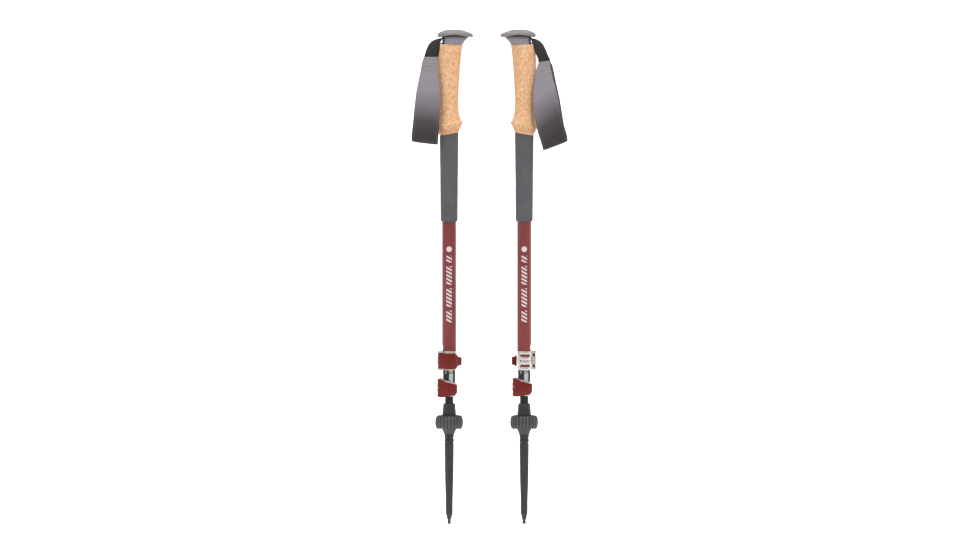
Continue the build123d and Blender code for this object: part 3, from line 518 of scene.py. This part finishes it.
def cap_grid(pole):
    """Ovals from the rim's underside over the dome to its crown. Rim and underside droop
    at the two ends by the cosine of twice the angle."""
    share = np.concatenate([np.linspace(0, 0.3, 24), 1 - 0.7 * (1 - np.linspace(0.02, 1, 44)) ** 1.6])
    foot = cap_foot + CAP_DROOP
    forward, sideways, height = oval_rows(share, CAP_SECTIONS, foot, cap_top)
    height = height - CAP_DROOP * np.cos(2 * RING) * (1 - share[:, None]) ** 1.5
    forward = np.concatenate([0.82 * forward[:1], forward])
    sideways = np.concatenate([0.82 * sideways[:1], sideways])
    under = height[:1] - 0.4
    return on_pole(pole, forward, sideways, np.concatenate([under, height]))


def moulded(name, dark, light):
    """Moulded plastic between two shades, with a fine mould grain."""
    plastic = Finish(name, specular=0.2)
    mould_grain = plastic.noise(plastic.place(), 2400.0, 2.0, 0.6)
    cloud = plastic.noise(plastic.place(), 70.0)
    plastic.colour = plastic.ramp(mould_grain * 0.35 + cloud * 0.65, (0.3, dark), (0.7, light))
    plastic.set(base_color=plastic.colour, roughness=0.46 + mould_grain * 0.14)
    plastic.bump(mould_grain, 0.00006)
    return plastic


neck_plastic = moulded("neck_plastic", (0.195, 0.183, 0.198), (0.24, 0.228, 0.245))
cap_plastic = moulded("cap_plastic", (0.185, 0.172, 0.163), (0.225, 0.21, 0.198))
_, _, neck_z = neck_plastic.axes(neck_plastic.place())
# Painted shade: the neck darkens over its top 3 mm, under the cap's rim, where the rim shades it.
painted_shade_under_cap = ((neck_z - tip_z["a"] - (cap_foot - 3.0) * MM) * (1 / 0.003)).math("MAXIMUM", 0.0)
neck_plastic.set(base_color=neck_plastic.mix(painted_shade_under_cap * 0.55, neck_plastic.colour, (0.045, 0.042, 0.043)))


def finished(finish, *nodes):
    """Gives both poles' CAD nodes of these names a finish."""
    for node in nodes:
        for pole in "ab":
            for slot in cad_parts[f"{node}_{pole}"].material_slots:
                slot.material = finish.material


finished(neck_plastic, "grip_core")
for pole in "ab":
    neck = surface(f"grip_head_piece_{pole}", neck_grid(pole), neck_plastic, closed=False)
    cap = surface(f"grip_cap_piece_{pole}", cap_grid(pole), cap_plastic, closed=False)
    for piece, node in ((neck, "grip_head"), (cap, "grip_cap")):
        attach(piece, f"pole_{pole}")
        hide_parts(f"{node}_{pole}")


# --- Screws, pads, nuts and wedge --------------------------------------------------
# Small turned steel parts: the cross screw in the head, the tension screws and barrel
# nuts of the locks. The wedge and the cams' wear pads are black moulded plastic.
steel = Finish("satin_steel", metallic=1.0, roughness=0.3)
lathe = steel.noise(steel.stretched((1, 9, 1)), 900.0, 2.0)
steel.set(
    base_color=steel.ramp(lathe, (0.2, (0.46, 0.45, 0.43)), (0.8, (0.62, 0.61, 0.59))),
    roughness=0.24 + lathe * 0.2,
)
steel.bump(lathe, 0.00003)
finished(steel, "head_screw", "upper_lock_screw", "lower_lock_screw", "upper_lock_nut", "lower_lock_nut")

black_plastic = Finish("black_plastic", specular=0.4)
black_grain = black_plastic.noise(black_plastic.place(), 2200.0, 3.0, 0.6)
black_plastic.set(
    base_color=black_plastic.ramp(black_grain, (0.3, (0.014, 0.014, 0.015)), (0.8, (0.026, 0.026, 0.028))),
    roughness=0.42 + black_grain * 0.2,
)
black_plastic.bump(black_grain, 0.00005)
finished(
    black_plastic, "strap_wedge", "upper_lock_pad", "lower_lock_pad", "middle_plug", "lower_plug"
)


# --- Strap webbing -----------------------------------------------------------------
# Flat black nylon webbing comes out of the head's mouth in two layers, twists a quarter
# turn as it bends down, and is sewn into the ends of the padded wrist loop.
WEB_THICK = 1.4
STRAP_SIDE = {"a": -1, "b": 1}
INNER_FACE = 4
# distance out from the pole, distance to the back, height above the head's foot, width,
# turn of the width from across the pole to outward, lean of its outer edge
FRONT_WEB = {
    "a": [
        (-1.2, 0.0, 7.6, 15.6, 0, 0), (8.6, 0.0, 7.6, 15.6, 2, 0), (11.0, -0.2, 7.0, 15.6, 16, 0),
        (13.6, -0.7, 5.8, 15.6, 34, 0), (16.4, -1.5, 3.8, 15.6, 48, 0), (19.0, -2.9, 0.4, 15.6, 60, 0),
        (21.1, -4.9, -4.6, 15.6, 72, 0), (22.9, -7.2, -10.6, 15.6, 83, 0),
        (24.3, -8.9, -16.4, 15.4, 90, 0), (24.4, -9.2, -19.0, 15.0, 90, 0),
    ],
    "b": [
        (-1.2, 0.0, 7.6, 15.6, 0, 0), (8.6, 0.0, 7.6, 15.6, 2, 0), (11.0, -0.2, 6.9, 15.6, 16, 0),
        (13.4, -0.7, 5.4, 15.6, 34, 0), (15.6, -1.5, 3.2, 15.6, 46, 0), (17.6, -2.6, 0.0, 15.6, 56, 0),
        (20.0, -4.4, -5.6, 15.6, 68, 0), (22.6, -6.6, -12.8, 15.2, 80, 0),
        (25.0, -8.3, -20.0, 14.0, 90, 4), (25.3, -9.0, -24.5, 13.4, 90, 8),
    ],
}
BACK_WEB = {
    "a": [
        (-1.2, 0.0, 1.8, 15.6, 0, 0), (9.2, 0.0, 1.8, 15.6, 0, 0), (11.5, -0.1, 0.3, 15.6, 4, 0),
        (14.0, -0.3, -1.6, 15.6, 12, 0), (16.6, -1.2, -5.0, 15.6, 32, 0), (19.2, -2.8, -9.0, 15.6, 56, 0),
        (21.4, -5.0, -13.0, 15.6, 80, 0), (22.8, -7.2, -19.0, 15.4, 90, 0),
    ],
    "b": [
        (-1.2, 0.0, 1.8, 15.6, 0, 0), (9.2, 0.0, 1.8, 15.6, 0, 0), (11.5, -0.1, 0.3, 15.6, 4, 0),
        (14.0, -0.3, -1.6, 15.6, 12, 0), (17.2, -0.9, -4.8, 15.6, 34, 0), (20.6, -2.2, -9.4, 15.4, 58, 0),
        (23.6, -3.9, -14.6, 15.0, 77, 0), (26.2, -5.2, -20.6, 14.6, 88, 4), (27.8, -5.9, -29.0, 14.0, 90, 8),
    ],
}


def strap_grid(pole, stations, rows, half_thickness, across):
    """A strap as rings round its section, one at each row along its length. Its stations
    are joined by smooth curves over their distance apart. Across the width the section
    is two faces, half_thickness(distance along in mm, share across, length) above and
    below the middle surface. Also gives UV: millimetres along, and the share across, to
    which INNER_FACE is added on the loop's inner face."""
    out, back, height, width, turned, lean = np.array(stations, float).T
    steps = np.hypot(np.hypot(np.diff(out), np.diff(back)), np.diff(height))
    knots = np.concatenate([[0], np.cumsum(steps)])
    along = np.linspace(0, knots[-1], rows)
    out, back, height, width, turned, lean = (
        smooth(along, knots, column) for column in (out, back, height, width, turned, lean)
    )
    side, turned, lean = STRAP_SIDE[pole], np.radians(turned), np.radians(lean)
    centre = np.stack(
        [side * out + axis_x[pole] / MM, back, height + neck_foot + tip_z[pole] / MM], axis=-1
    )
    wide = np.stack(
        [side * np.sin(turned) * np.cos(lean), np.cos(turned), np.sin(turned) * np.sin(lean)], axis=-1
    )
    ahead = np.gradient(centre, along, axis=0)
    normal = np.cross(ahead, wide)
    normal /= np.linalg.norm(normal, axis=-1, keepdims=True)
    share = np.concatenate([across, across[-2:0:-1]])
    face = np.concatenate([np.ones(len(across)), -np.ones(len(across) - 2)])
    rise = face * half_thickness(along[:, None], share, knots[-1])
    rise[0], rise[-1] = 0, 0
    grid = (
        centre[:, None]
        + wide[:, None] * (share * width[:, None] / 2)[..., None]
        + normal[:, None] * rise[..., None]
    )
    uv = np.stack(np.broadcast_arrays(along[:, None], share + INNER_FACE * (face * side < 0)), axis=-1)
    return grid, uv


def web_section(along, share, length):
    """Flat faces with rounded edges."""
    return WEB_THICK / 2 * (1 - np.abs(share) ** 12) ** 0.5 + 0 * along


webbing = Finish("woven_webbing", roughness=0.8, specular=0.15, sheen_weight=0.05)
web_u, web_v, _ = webbing.axes(webbing.node("TexCoord", output="UV"))
web_yarn = (web_u * 4.8 + web_v * 20.0).math("SINE")
web_cross = (web_v * 38.0).math("SINE")
web_fuzz = webbing.noise(webbing.place(), 1800.0, 2.0)
web_relief = web_yarn * 0.5 * web_cross + web_cross * 0.25 + web_fuzz * 0.4
webbing.set(
    base_color=webbing.ramp(
        web_relief * 0.5 + 0.4,
        (0.1, (0.012, 0.011, 0.011)), (0.6, (0.025, 0.024, 0.024)), (1.0, (0.05, 0.048, 0.047)),
    )
)
webbing.bump(web_relief, 0.00022)

for pole in "ab":
    flat = np.sin(np.linspace(-pi / 2, pi / 2, 25))
    for layer, table in (("front", FRONT_WEB[pole]), ("back", BACK_WEB[pole])):
        grid, uv = strap_grid(pole, table, 60, web_section, flat)
        piece = surface(f"webbing_{layer}_{pole}", grid, webbing, closed=False, uv=uv)
        side, centre = STRAP_SIDE[pole], axis_x[pole]
        height = tip_z[pole] + neck_foot * MM
        start, end = ((10.0, 7.4), (19.0, 1.0)) if layer == "front" else ((10.5, 1.2), (19.0, -8.0))
        start, end = ((centre + side * x * MM, 0, height + z * MM) for x, z in (start, end))
        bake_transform(piece)
    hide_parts(f"strap_webbing_{pole}", f"strap_anchor_{pole}")


# --- Wrist loops -------------------------------------------------------------------
# Each loop is one wide padded band, folded flat at the bottom. It is cut from grey
# napped cloth, lined in black, and stitched along both edges. Towards the fold its colour
# is painted darker: partly the cloth's own darker tone, partly painted shade where the
# band bends away from the light.
FRONT_BAND = {
    "a": [
        (23.9, -9.4, -15.9, 17.0, 90, 0), (24.6, -11.2, -23.0, 20.4, 90, 0),
        (25.3, -12.8, -33.0, 22.4, 90, 0), (26.2, -15.4, -46.0, 26.0, 90, 1),
        (27.0, -17.8, -64.0, 31.0, 90, 2), (28.2, -18.9, -84.0, 33.0, 90, 3),
        (29.6, -18.7, -105.0, 34.0, 90, 5), (31.1, -17.1, -122.6, 34.2, 90, 7),
    ],
    "b": [
        (25.3, -9.0, -21.6, 14.2, 90, 9), (24.6, -12.0, -32.0, 18.8, 90, 8),
        (25.0, -15.0, -45.0, 24.0, 90, 7), (26.0, -17.4, -60.0, 29.6, 90, 8),
        (27.8, -18.6, -76.0, 33.6, 90, 10), (30.3, -18.8, -91.0, 34.4, 90, 13),
        (33.4, -18.0, -106.0, 34.4, 90, 16), (39.2, -16.2, -125.8, 34.0, 90, 21),
    ],
}
BACK_BAND = {
    "a": [
        (31.3, -14.6, -126.0, 34.2, 90, 7), (31.4, -12.1, -122.6, 34.2, 90, 7),
        (30.0, -11.0, -105.0, 33.6, 90, 5), (28.4, -10.4, -84.0, 32.8, 90, 3),
        (27.2, -10.2, -64.0, 30.4, 90, 2), (26.3, -9.7, -46.0, 25.4, 90, 1),
        (25.0, -8.7, -32.5, 20.0, 90, 0), (23.4, -7.2, -17.0, 16.5, 90, 0),
    ],
    "b": [
        (40.0, -13.9, -129.6, 34.0, 90, 21), (39.6, -11.4, -125.8, 34.0, 90, 21),
        (34.4, -10.6, -106.0, 34.0, 90, 16), (32.0, -10.2, -91.0, 33.8, 90, 13),
        (30.0, -9.8, -76.0, 33.0, 90, 10), (28.6, -9.2, -60.0, 29.0, 90, 8),
        (28.2, -8.5, -45.0, 23.4, 90, 7), (28.4, -7.4, -34.0, 18.6, 90, 8), (28.0, -6.2, -26.0, 15.4, 90, 9),
    ],
}
BAND_THIN, BAND_THICK = 1.5, 2.7
HEM = 0.86


def band_section(along, share, length):
    """A padded face that thins towards the sewn ends and pulls in at the hems, with
    creases across it near the ends. The edges are rounded."""
    end = np.minimum(along, length - along)
    plump = BAND_THIN + (BAND_THICK - BAND_THIN) * np.clip((end - 4) / 30, 0, 1)
    crown = (1 - np.abs(share) ** 10) ** 0.5 * (1 - 0.12 * share**2)
    hem = 0.2 * np.exp(-(((np.abs(share) - HEM) / 0.035) ** 2))
    crease = 0.3 * np.exp(-(((end - 13) / 9) ** 2)) * np.sin(2 * pi * (end + 2 * share) / 5.2)
    sewn = 0.22 * np.exp(-(((end - 4.5) / 0.8) ** 2))
    pressed = (hem + sewn) * (np.abs(share) < 0.98)
    return np.maximum(plump / 2 * crown - pressed + crease * (1 - share**2), 0)


def band_finish(pole, length, dark_at, slant):
    """Napped cloth over UV: its colour runs from grey to near black over 34 mm, centred
    dark_at mm from the fold and slanting across the band, partly its own tone and partly
    painted shade, with stitches along hems."""
    cloth = Finish(f"wrist_loop_cloth_{pole}", roughness=0.85, specular=0.2, sheen_weight=0.25)
    u, v, _ = cloth.axes(cloth.node("TexCoord", output="UV"))
    inner = v > INNER_FACE / 2
    v = v - inner * INNER_FACE
    nap = cloth.noise(cloth.place(), 1700.0, 3.0, 0.65)
    cloud = cloth.noise(cloth.place(), 45.0, 2.0)
    knit = (u * 7.4).math("SINE") * (v * 130.0).math("SINE")
    away = abs(u - length / 2)
    # Partly painted shade: the colour darkens towards the fold, where the band bends away from the light.
    shade = (away + v * slant - dark_at) * (1 / 58) + 0.5 + (cloud - 0.5) * 0.12
    colour = cloth.ramp(
        shade, (0.0, (0.034, 0.027, 0.029)), (0.3, (0.060, 0.051, 0.054)),
        (0.75, (0.205, 0.183, 0.205)), (1.0, (0.275, 0.252, 0.275)),
    )
    colour = cloth.mix((nap * 0.5 + knit * 0.25) * 0.5, colour, (0.055, 0.05, 0.055))
    colour = cloth.mix(inner * 0.85, colour, (0.032, 0.029, 0.031))
    hem_line = abs(abs(v) - HEM) < 0.018
    end = (away * -1) + length / 2
    end_line = abs(end - 4.5) < 0.3
    stitch = hem_line * ((u % 2.8) < 1.9) + end_line * (((v * 8.0) % 2.4) < 1.6)
    cloth.set(base_color=cloth.mix(stitch * 0.35, colour, (0.24, 0.23, 0.245)))
    cloth.bump(nap * 0.6 + knit * 0.5 + stitch * 1.2, 0.0002)
    return cloth


for pole, dark_at, slant in (("a", 38.0, 0.0), ("b", 39.0, -9.0)):
    edge_to_edge = np.sin(np.linspace(-pi / 2, pi / 2, 61))
    grid, uv = strap_grid(pole, FRONT_BAND[pole] + BACK_BAND[pole], 300, band_section, edge_to_edge)
    cloth = band_finish(pole, uv[-1, 0, 0], dark_at, slant)
    loop = surface(f"wrist_loop_piece_{pole}", grid, cloth, closed=False, uv=uv, crease=60)
    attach(loop, f"strap_{pole}")
    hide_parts(f"wrist_loop_{pole}")


# --- Upper shafts ------------------------------------------------------------------
# The outer tube of each pole is drawn aluminium, anodised deep red and satin. It has a
# plain printed row of slanted white bars at the front and back, and a white disc.
pole_gap = axis_x["b"] - axis_x["a"]


def from_axis(finish):
    """Object coordinates as distance from the nearer pole's axis along X, and Z."""
    x, y, z = finish.axes(finish.place())
    return (x + pole_gap / 2) % pole_gap - pole_gap / 2, y, z


def metal_tube(name, dark, light, rough):
    """Satin anodised tube: fine draw lines along it and a faint cloudiness."""
    tube = Finish(name, metallic=0.2, roughness=rough, specular=0.15)
    lines = tube.noise(tube.stretched((1, 1, 0.02)), 2600.0, 3.0, 0.6)
    cloud = tube.noise(tube.stretched((1, 1, 0.3)), 90.0, 2.0)
    tube.colour = tube.ramp(lines * 0.5 + cloud * 0.5, (0.3, dark), (0.7, light))
    tube.set(roughness=rough - 0.06 + lines * 0.14)
    tube.bump(lines, 0.00002)
    return tube


red_tube = metal_tube("red_anodised_tube", (0.165, 0.037, 0.038), (0.215, 0.054, 0.055), 0.42)
print_x, _, print_z = from_axis(red_tube)
BAR_STEP, BAR_WIDE, BAR_SLANT, BAR_HALF = 4.8 * MM, 2.5 * MM, 0.55, 3.6 * MM
BARS_IN_GROUP, PRINT_TOP, PRINT_LONG = 6, 348 * MM, 86 * MM
DISC_R, DISC_RISE = 3.6 * MM, 8.5 * MM
print_top = tip_z["a"] + PRINT_TOP
bars = ((print_z + print_x * BAR_SLANT) % BAR_STEP) < BAR_WIDE
gaps = (print_z % (BARS_IN_GROUP * BAR_STEP)) > BAR_STEP
bar_zone = (print_z < print_top) * (print_z > print_top - PRINT_LONG) * (abs(print_x) < BAR_HALF)
mark_x, mark_z = print_x * (1 / DISC_R), (print_z - print_top - DISC_RISE) * (1 / DISC_R)
disc = (mark_x * mark_x + mark_z * mark_z) < 1.0
printed = bars * gaps * bar_zone + disc
red_tube.set(base_color=red_tube.mix(printed * 0.85, red_tube.colour, (0.68, 0.64, 0.62)))
finished(red_tube, "upper_shaft")


# --- Lock collars ------------------------------------------------------------------
# The clamps' split rings are stamped from steel sheet, brushed and left bare. Their edges
# are broken, which shows as thin bright lines.
COLLAR_EDGE = 0.22


def rounded(node, width, finish, body):
    """A copy of a CAD node with its doubles merged and flat faces joined, whose edges are
    rounded by a bevel of this width in millimetres."""
    shell = bmesh.new()
    shell.from_mesh(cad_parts[node].data)
    bmesh.ops.remove_doubles(shell, verts=shell.verts, dist=0.01 * MM)
    bmesh.ops.dissolve_limit(shell, angle_limit=radians(1), verts=shell.verts, edges=shell.edges)
    mesh = bpy.data.meshes.new(f"{node}_rounded")
    shell.to_mesh(mesh)
    shell.free()
    mesh.materials.clear()
    mesh.materials.append(finish.material)
    mesh.shade_smooth()
    piece = bpy.data.objects.new(f"{node}_rounded", mesh)
    stage_scene.collection.objects.link(piece)
    bevel = piece.modifiers.new("broken_edge", "BEVEL")
    bevel.width, bevel.segments = width * MM, 3
    bevel.limit_method, bevel.angle_limit = "ANGLE", radians(32)
    bevel.harden_normals = True
    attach(piece, body)
    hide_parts(node)
    return piece


collar_steel = Finish("brushed_collar_steel", metallic=1.0)
brushed = collar_steel.noise(collar_steel.stretched((1, 1, 0.03)), 2400.0, 3.0, 0.6)
tarnish = collar_steel.noise(collar_steel.place(), 160.0, 3.0)
collar_steel.set(
    base_color=collar_steel.ramp(
        brushed * 0.5 + tarnish * 0.5, (0.25, (0.54, 0.50, 0.46)), (0.75, (0.74, 0.70, 0.65))
    ),
    roughness=0.3 + brushed * 0.16,
)
collar_steel.bump(brushed, 0.00003)
for pole in "ab":
    rounded(f"upper_lock_collar_{pole}", COLLAR_EDGE, collar_steel, f"pole_{pole}")
    rounded(f"lower_lock_collar_{pole}", COLLAR_EDGE, collar_steel, f"middle_{pole}")


# --- Lock levers -------------------------------------------------------------------
# The cam levers are cast, tumbled so that their edges are soft, and painted deep red with
# a slight orange peel. The paint is rubbed lighter where the thumb lifts it.
LEVER_EDGE = 0.5
lever_paint = Finish("red_lever_paint", metallic=0.2, specular=0.2, coat_roughness=0.2)
peel = lever_paint.noise(lever_paint.place(), 700.0, 2.0, 0.5)
scuff = lever_paint.noise(lever_paint.stretched((1, 1, 0.35)), 380.0, 4.0, 0.7)
scuffed = (scuff > 0.66) * 0.35
lever_paint.set(
    base_color=lever_paint.mix(
        scuffed,
        lever_paint.ramp(peel, (0.3, (0.115, 0.011, 0.008)), (0.7, (0.16, 0.018, 0.013))),
        (0.22, 0.06, 0.05),
    ),
    roughness=0.34 + peel * 0.12,
    coat_weight=0.04 + scuff * 0.06,
)
lever_paint.bump(peel * 0.8 + scuff * 0.3, 0.00005)
for pole in "ab":
    rounded(f"upper_lock_lever_{pole}", LEVER_EDGE, lever_paint, f"upper_lever_{pole}")
    rounded(f"lower_lock_lever_{pole}", LEVER_EDGE, lever_paint, f"lower_lever_{pole}")


# --- Middle shafts -----------------------------------------------------------------
# The middle tube is anodised black. A white length scale is printed along its front and
# back, with a tick at every centimetre, longer each five, and a figure at every ten.
SCALE_WIDE = 5.0
scale_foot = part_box("middle_shaft_a")[0][2]
black_tube = metal_tube("black_anodised_tube", (0.020, 0.020, 0.021), (0.036, 0.036, 0.038), 0.4)
scale_x, _, scale_z = from_axis(black_tube)
scale_z = scale_z - scale_foot
strip = (scale_x > -0.0001) * (scale_x < SCALE_WIDE * MM)
tick = ((scale_z % 0.01) < 0.0009) * (scale_x < 0.002) + ((scale_z % 0.05) < 0.0011) * (scale_x < 0.0034)
dash = (abs(scale_x + 0.0041) < 0.0006) * (((scale_z + 0.0101) % 0.02) < 0.0036)
scale_paint = strip * (1 - (tick > 0.5)) + dash
black_tube.set(base_color=black_tube.mix(scale_paint * 0.9, black_tube.colour, (0.47, 0.47, 0.475)))
finished(black_tube, "middle_shaft")


def figures(name, pole, body, radius, marks):
    """Figures printed on a tube: flat text laid round its radius, at (number, height)."""
    points, faces = [], []
    for number, height in marks:
        text = bpy.data.curves.new("figure", "FONT")
        text.body, text.size, text.align_x = str(number), 3.4 * MM, "CENTER"
        shape = bpy.data.objects.new("figure", text)
        mesh = bpy.data.meshes.new_from_object(shape)
        flat = np.empty(len(mesh.vertices) * 3)
        mesh.vertices.foreach_get("co", flat)
        flat = flat.reshape(-1, 3)
        angle = (flat[:, 0] + 2.9 * MM) / radius
        faces += [[v + len(points) for v in polygon.vertices] for polygon in mesh.polygons]
        wrapped = np.stack([radius * np.sin(angle), -radius * np.cos(angle), flat[:, 1] + height], axis=-1)
        points += (wrapped + np.array([axis_x[pole], 0, 0])).tolist()
        bpy.data.objects.remove(shape)
    mesh = bpy.data.meshes.new(name)
    mesh.from_pydata(points, [], faces)
    mesh.materials.append(black_plastic.material)
    piece = bpy.data.objects.new(name, mesh)
    stage_scene.collection.objects.link(piece)
    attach(piece, body)


for pole in "ab":
    corner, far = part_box(f"middle_shaft_{pole}")
    marks = [(100 + 5 * i, corner[2] + 0.0303 + 0.05 * i) for i in range(7)]
    figures(f"scale_figures_{pole}", pole, f"middle_{pole}", (far[0] - corner[0]) / 2 + 0.03 * MM, marks)


# --- Lower shafts ------------------------------------------------------------------
# The lowest tube is the same black tube one size smaller, drawn down at its foot. One
# thin white ring near its top shows how far it may be pulled out.
plain_tube = metal_tube("plain_black_tube", (0.018, 0.019, 0.018), (0.032, 0.033, 0.032), 0.4)
_, _, ring_z = from_axis(plain_tube)
limit_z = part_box("lower_shaft_a")[1][2] - 0.066
limit_ring = abs(ring_z - limit_z) < 0.0008
plain_tube.set(base_color=plain_tube.mix(limit_ring * 0.9, plain_tube.colour, (0.47, 0.47, 0.475)))
finished(plain_tube, "lower_shaft")


# --- Flexible tips and baskets -----------------------------------------------------
# Tip body and basket are black nylon mouldings with a fine spark-eroded grain. The basket
# is pushed over two rings on the stub and can be pulled off over the tip.
nylon = Finish("tip_nylon", specular=0.25)
nylon_grain = nylon.noise(nylon.place(), 2000.0, 3.0, 0.6)
nylon_scuff = nylon.noise(nylon.stretched((1, 1, 0.3)), 260.0, 4.0, 0.7)
nylon.set(
    base_color=nylon.ramp(
        nylon_grain * 0.4 + nylon_scuff * 0.6,
        (0.3, (0.020, 0.019, 0.020)), (0.62, (0.034, 0.032, 0.034)), (0.85, (0.07, 0.067, 0.069)),
    ),
    roughness=0.4 + nylon_grain * 0.2,
)
nylon.bump(nylon_grain + nylon_scuff * 0.4, 0.00006)
finished(nylon, "tip_body")

BASKET_TEETH = 24
basket_rim = float((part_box("basket_a")[0][2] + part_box("basket_a")[1][2]) / 2)
basket_nylon = Finish("basket_nylon", specular=0.3)
basket_grain = basket_nylon.noise(basket_nylon.place(), 1800.0, 3.0, 0.6)
basket_scuff = basket_nylon.noise(basket_nylon.place(), 300.0, 4.0, 0.7)
rib_x, rib_y, rib_z = from_axis(basket_nylon)
rib_turn = rib_y.math("ARCTAN2", rib_x) * BASKET_TEETH
rib_reach = (rib_x * rib_x + rib_y * rib_y).math("SQRT")
# Painted shade: the basket is darkened in the gaps between its ribs and under its rim around the hub, where
# shade falls.
painted_shade_between_ribs = (rib_turn.math("COSINE") < 0.25) * (rib_reach > 0.0115)
painted_shade_under_basket_rim = (rib_reach < 0.0112) * (rib_z < basket_rim)
basket_nylon.set(
    base_color=basket_nylon.mix(
        painted_shade_between_ribs * 0.62 + painted_shade_under_basket_rim * 0.5,
        basket_nylon.ramp(
            basket_grain * 0.35 + basket_scuff * 0.65,
            (0.3, (0.062, 0.060, 0.061)), (0.62, (0.088, 0.085, 0.086)), (0.85, (0.14, 0.137, 0.138)),
        ),
        (0.022, 0.021, 0.022),
    ),
    roughness=0.38 + basket_grain * 0.2,
)
basket_nylon.bump(basket_grain + basket_scuff * 0.4, 0.00006)
finished(basket_nylon, "basket")


# --- Ferrules and carbide points ---------------------------------------------------
# A black steel ferrule is pressed into the tip's foot and holds a sintered carbide rod,
# dark grey, whose dished end is ground bright where it bites the ground.
ferrule_paint = Finish("black_ferrule", metallic=0.6, specular=0.5)
turning = ferrule_paint.noise(ferrule_paint.stretched((1, 1, 12)), 500.0, 2.0)
ferrule_paint.set(
    base_color=ferrule_paint.ramp(turning, (0.3, (0.022, 0.022, 0.022)), (0.8, (0.045, 0.045, 0.044))),
    roughness=0.3 + turning * 0.2,
)
ferrule_paint.bump(turning, 0.00004)
finished(ferrule_paint, "tip_ferrule")

carbide = Finish("sintered_carbide", metallic=0.9)
sinter = carbide.noise(carbide.place(), 2600.0, 4.0, 0.7)
_, _, carbide_z = carbide.axes(carbide.place())
worn = (carbide_z - float(low[2])) < 0.0012
carbide.set(
    base_color=carbide.mix(
        worn * 0.6,
        carbide.ramp(sinter, (0.3, (0.05, 0.046, 0.042)), (0.7, (0.10, 0.094, 0.088))),
        (0.3, 0.29, 0.27),
    ),
    roughness=0.38 + sinter * 0.25,
)
carbide.bump(sinter, 0.00005)
finished(carbide, "carbide_tip")
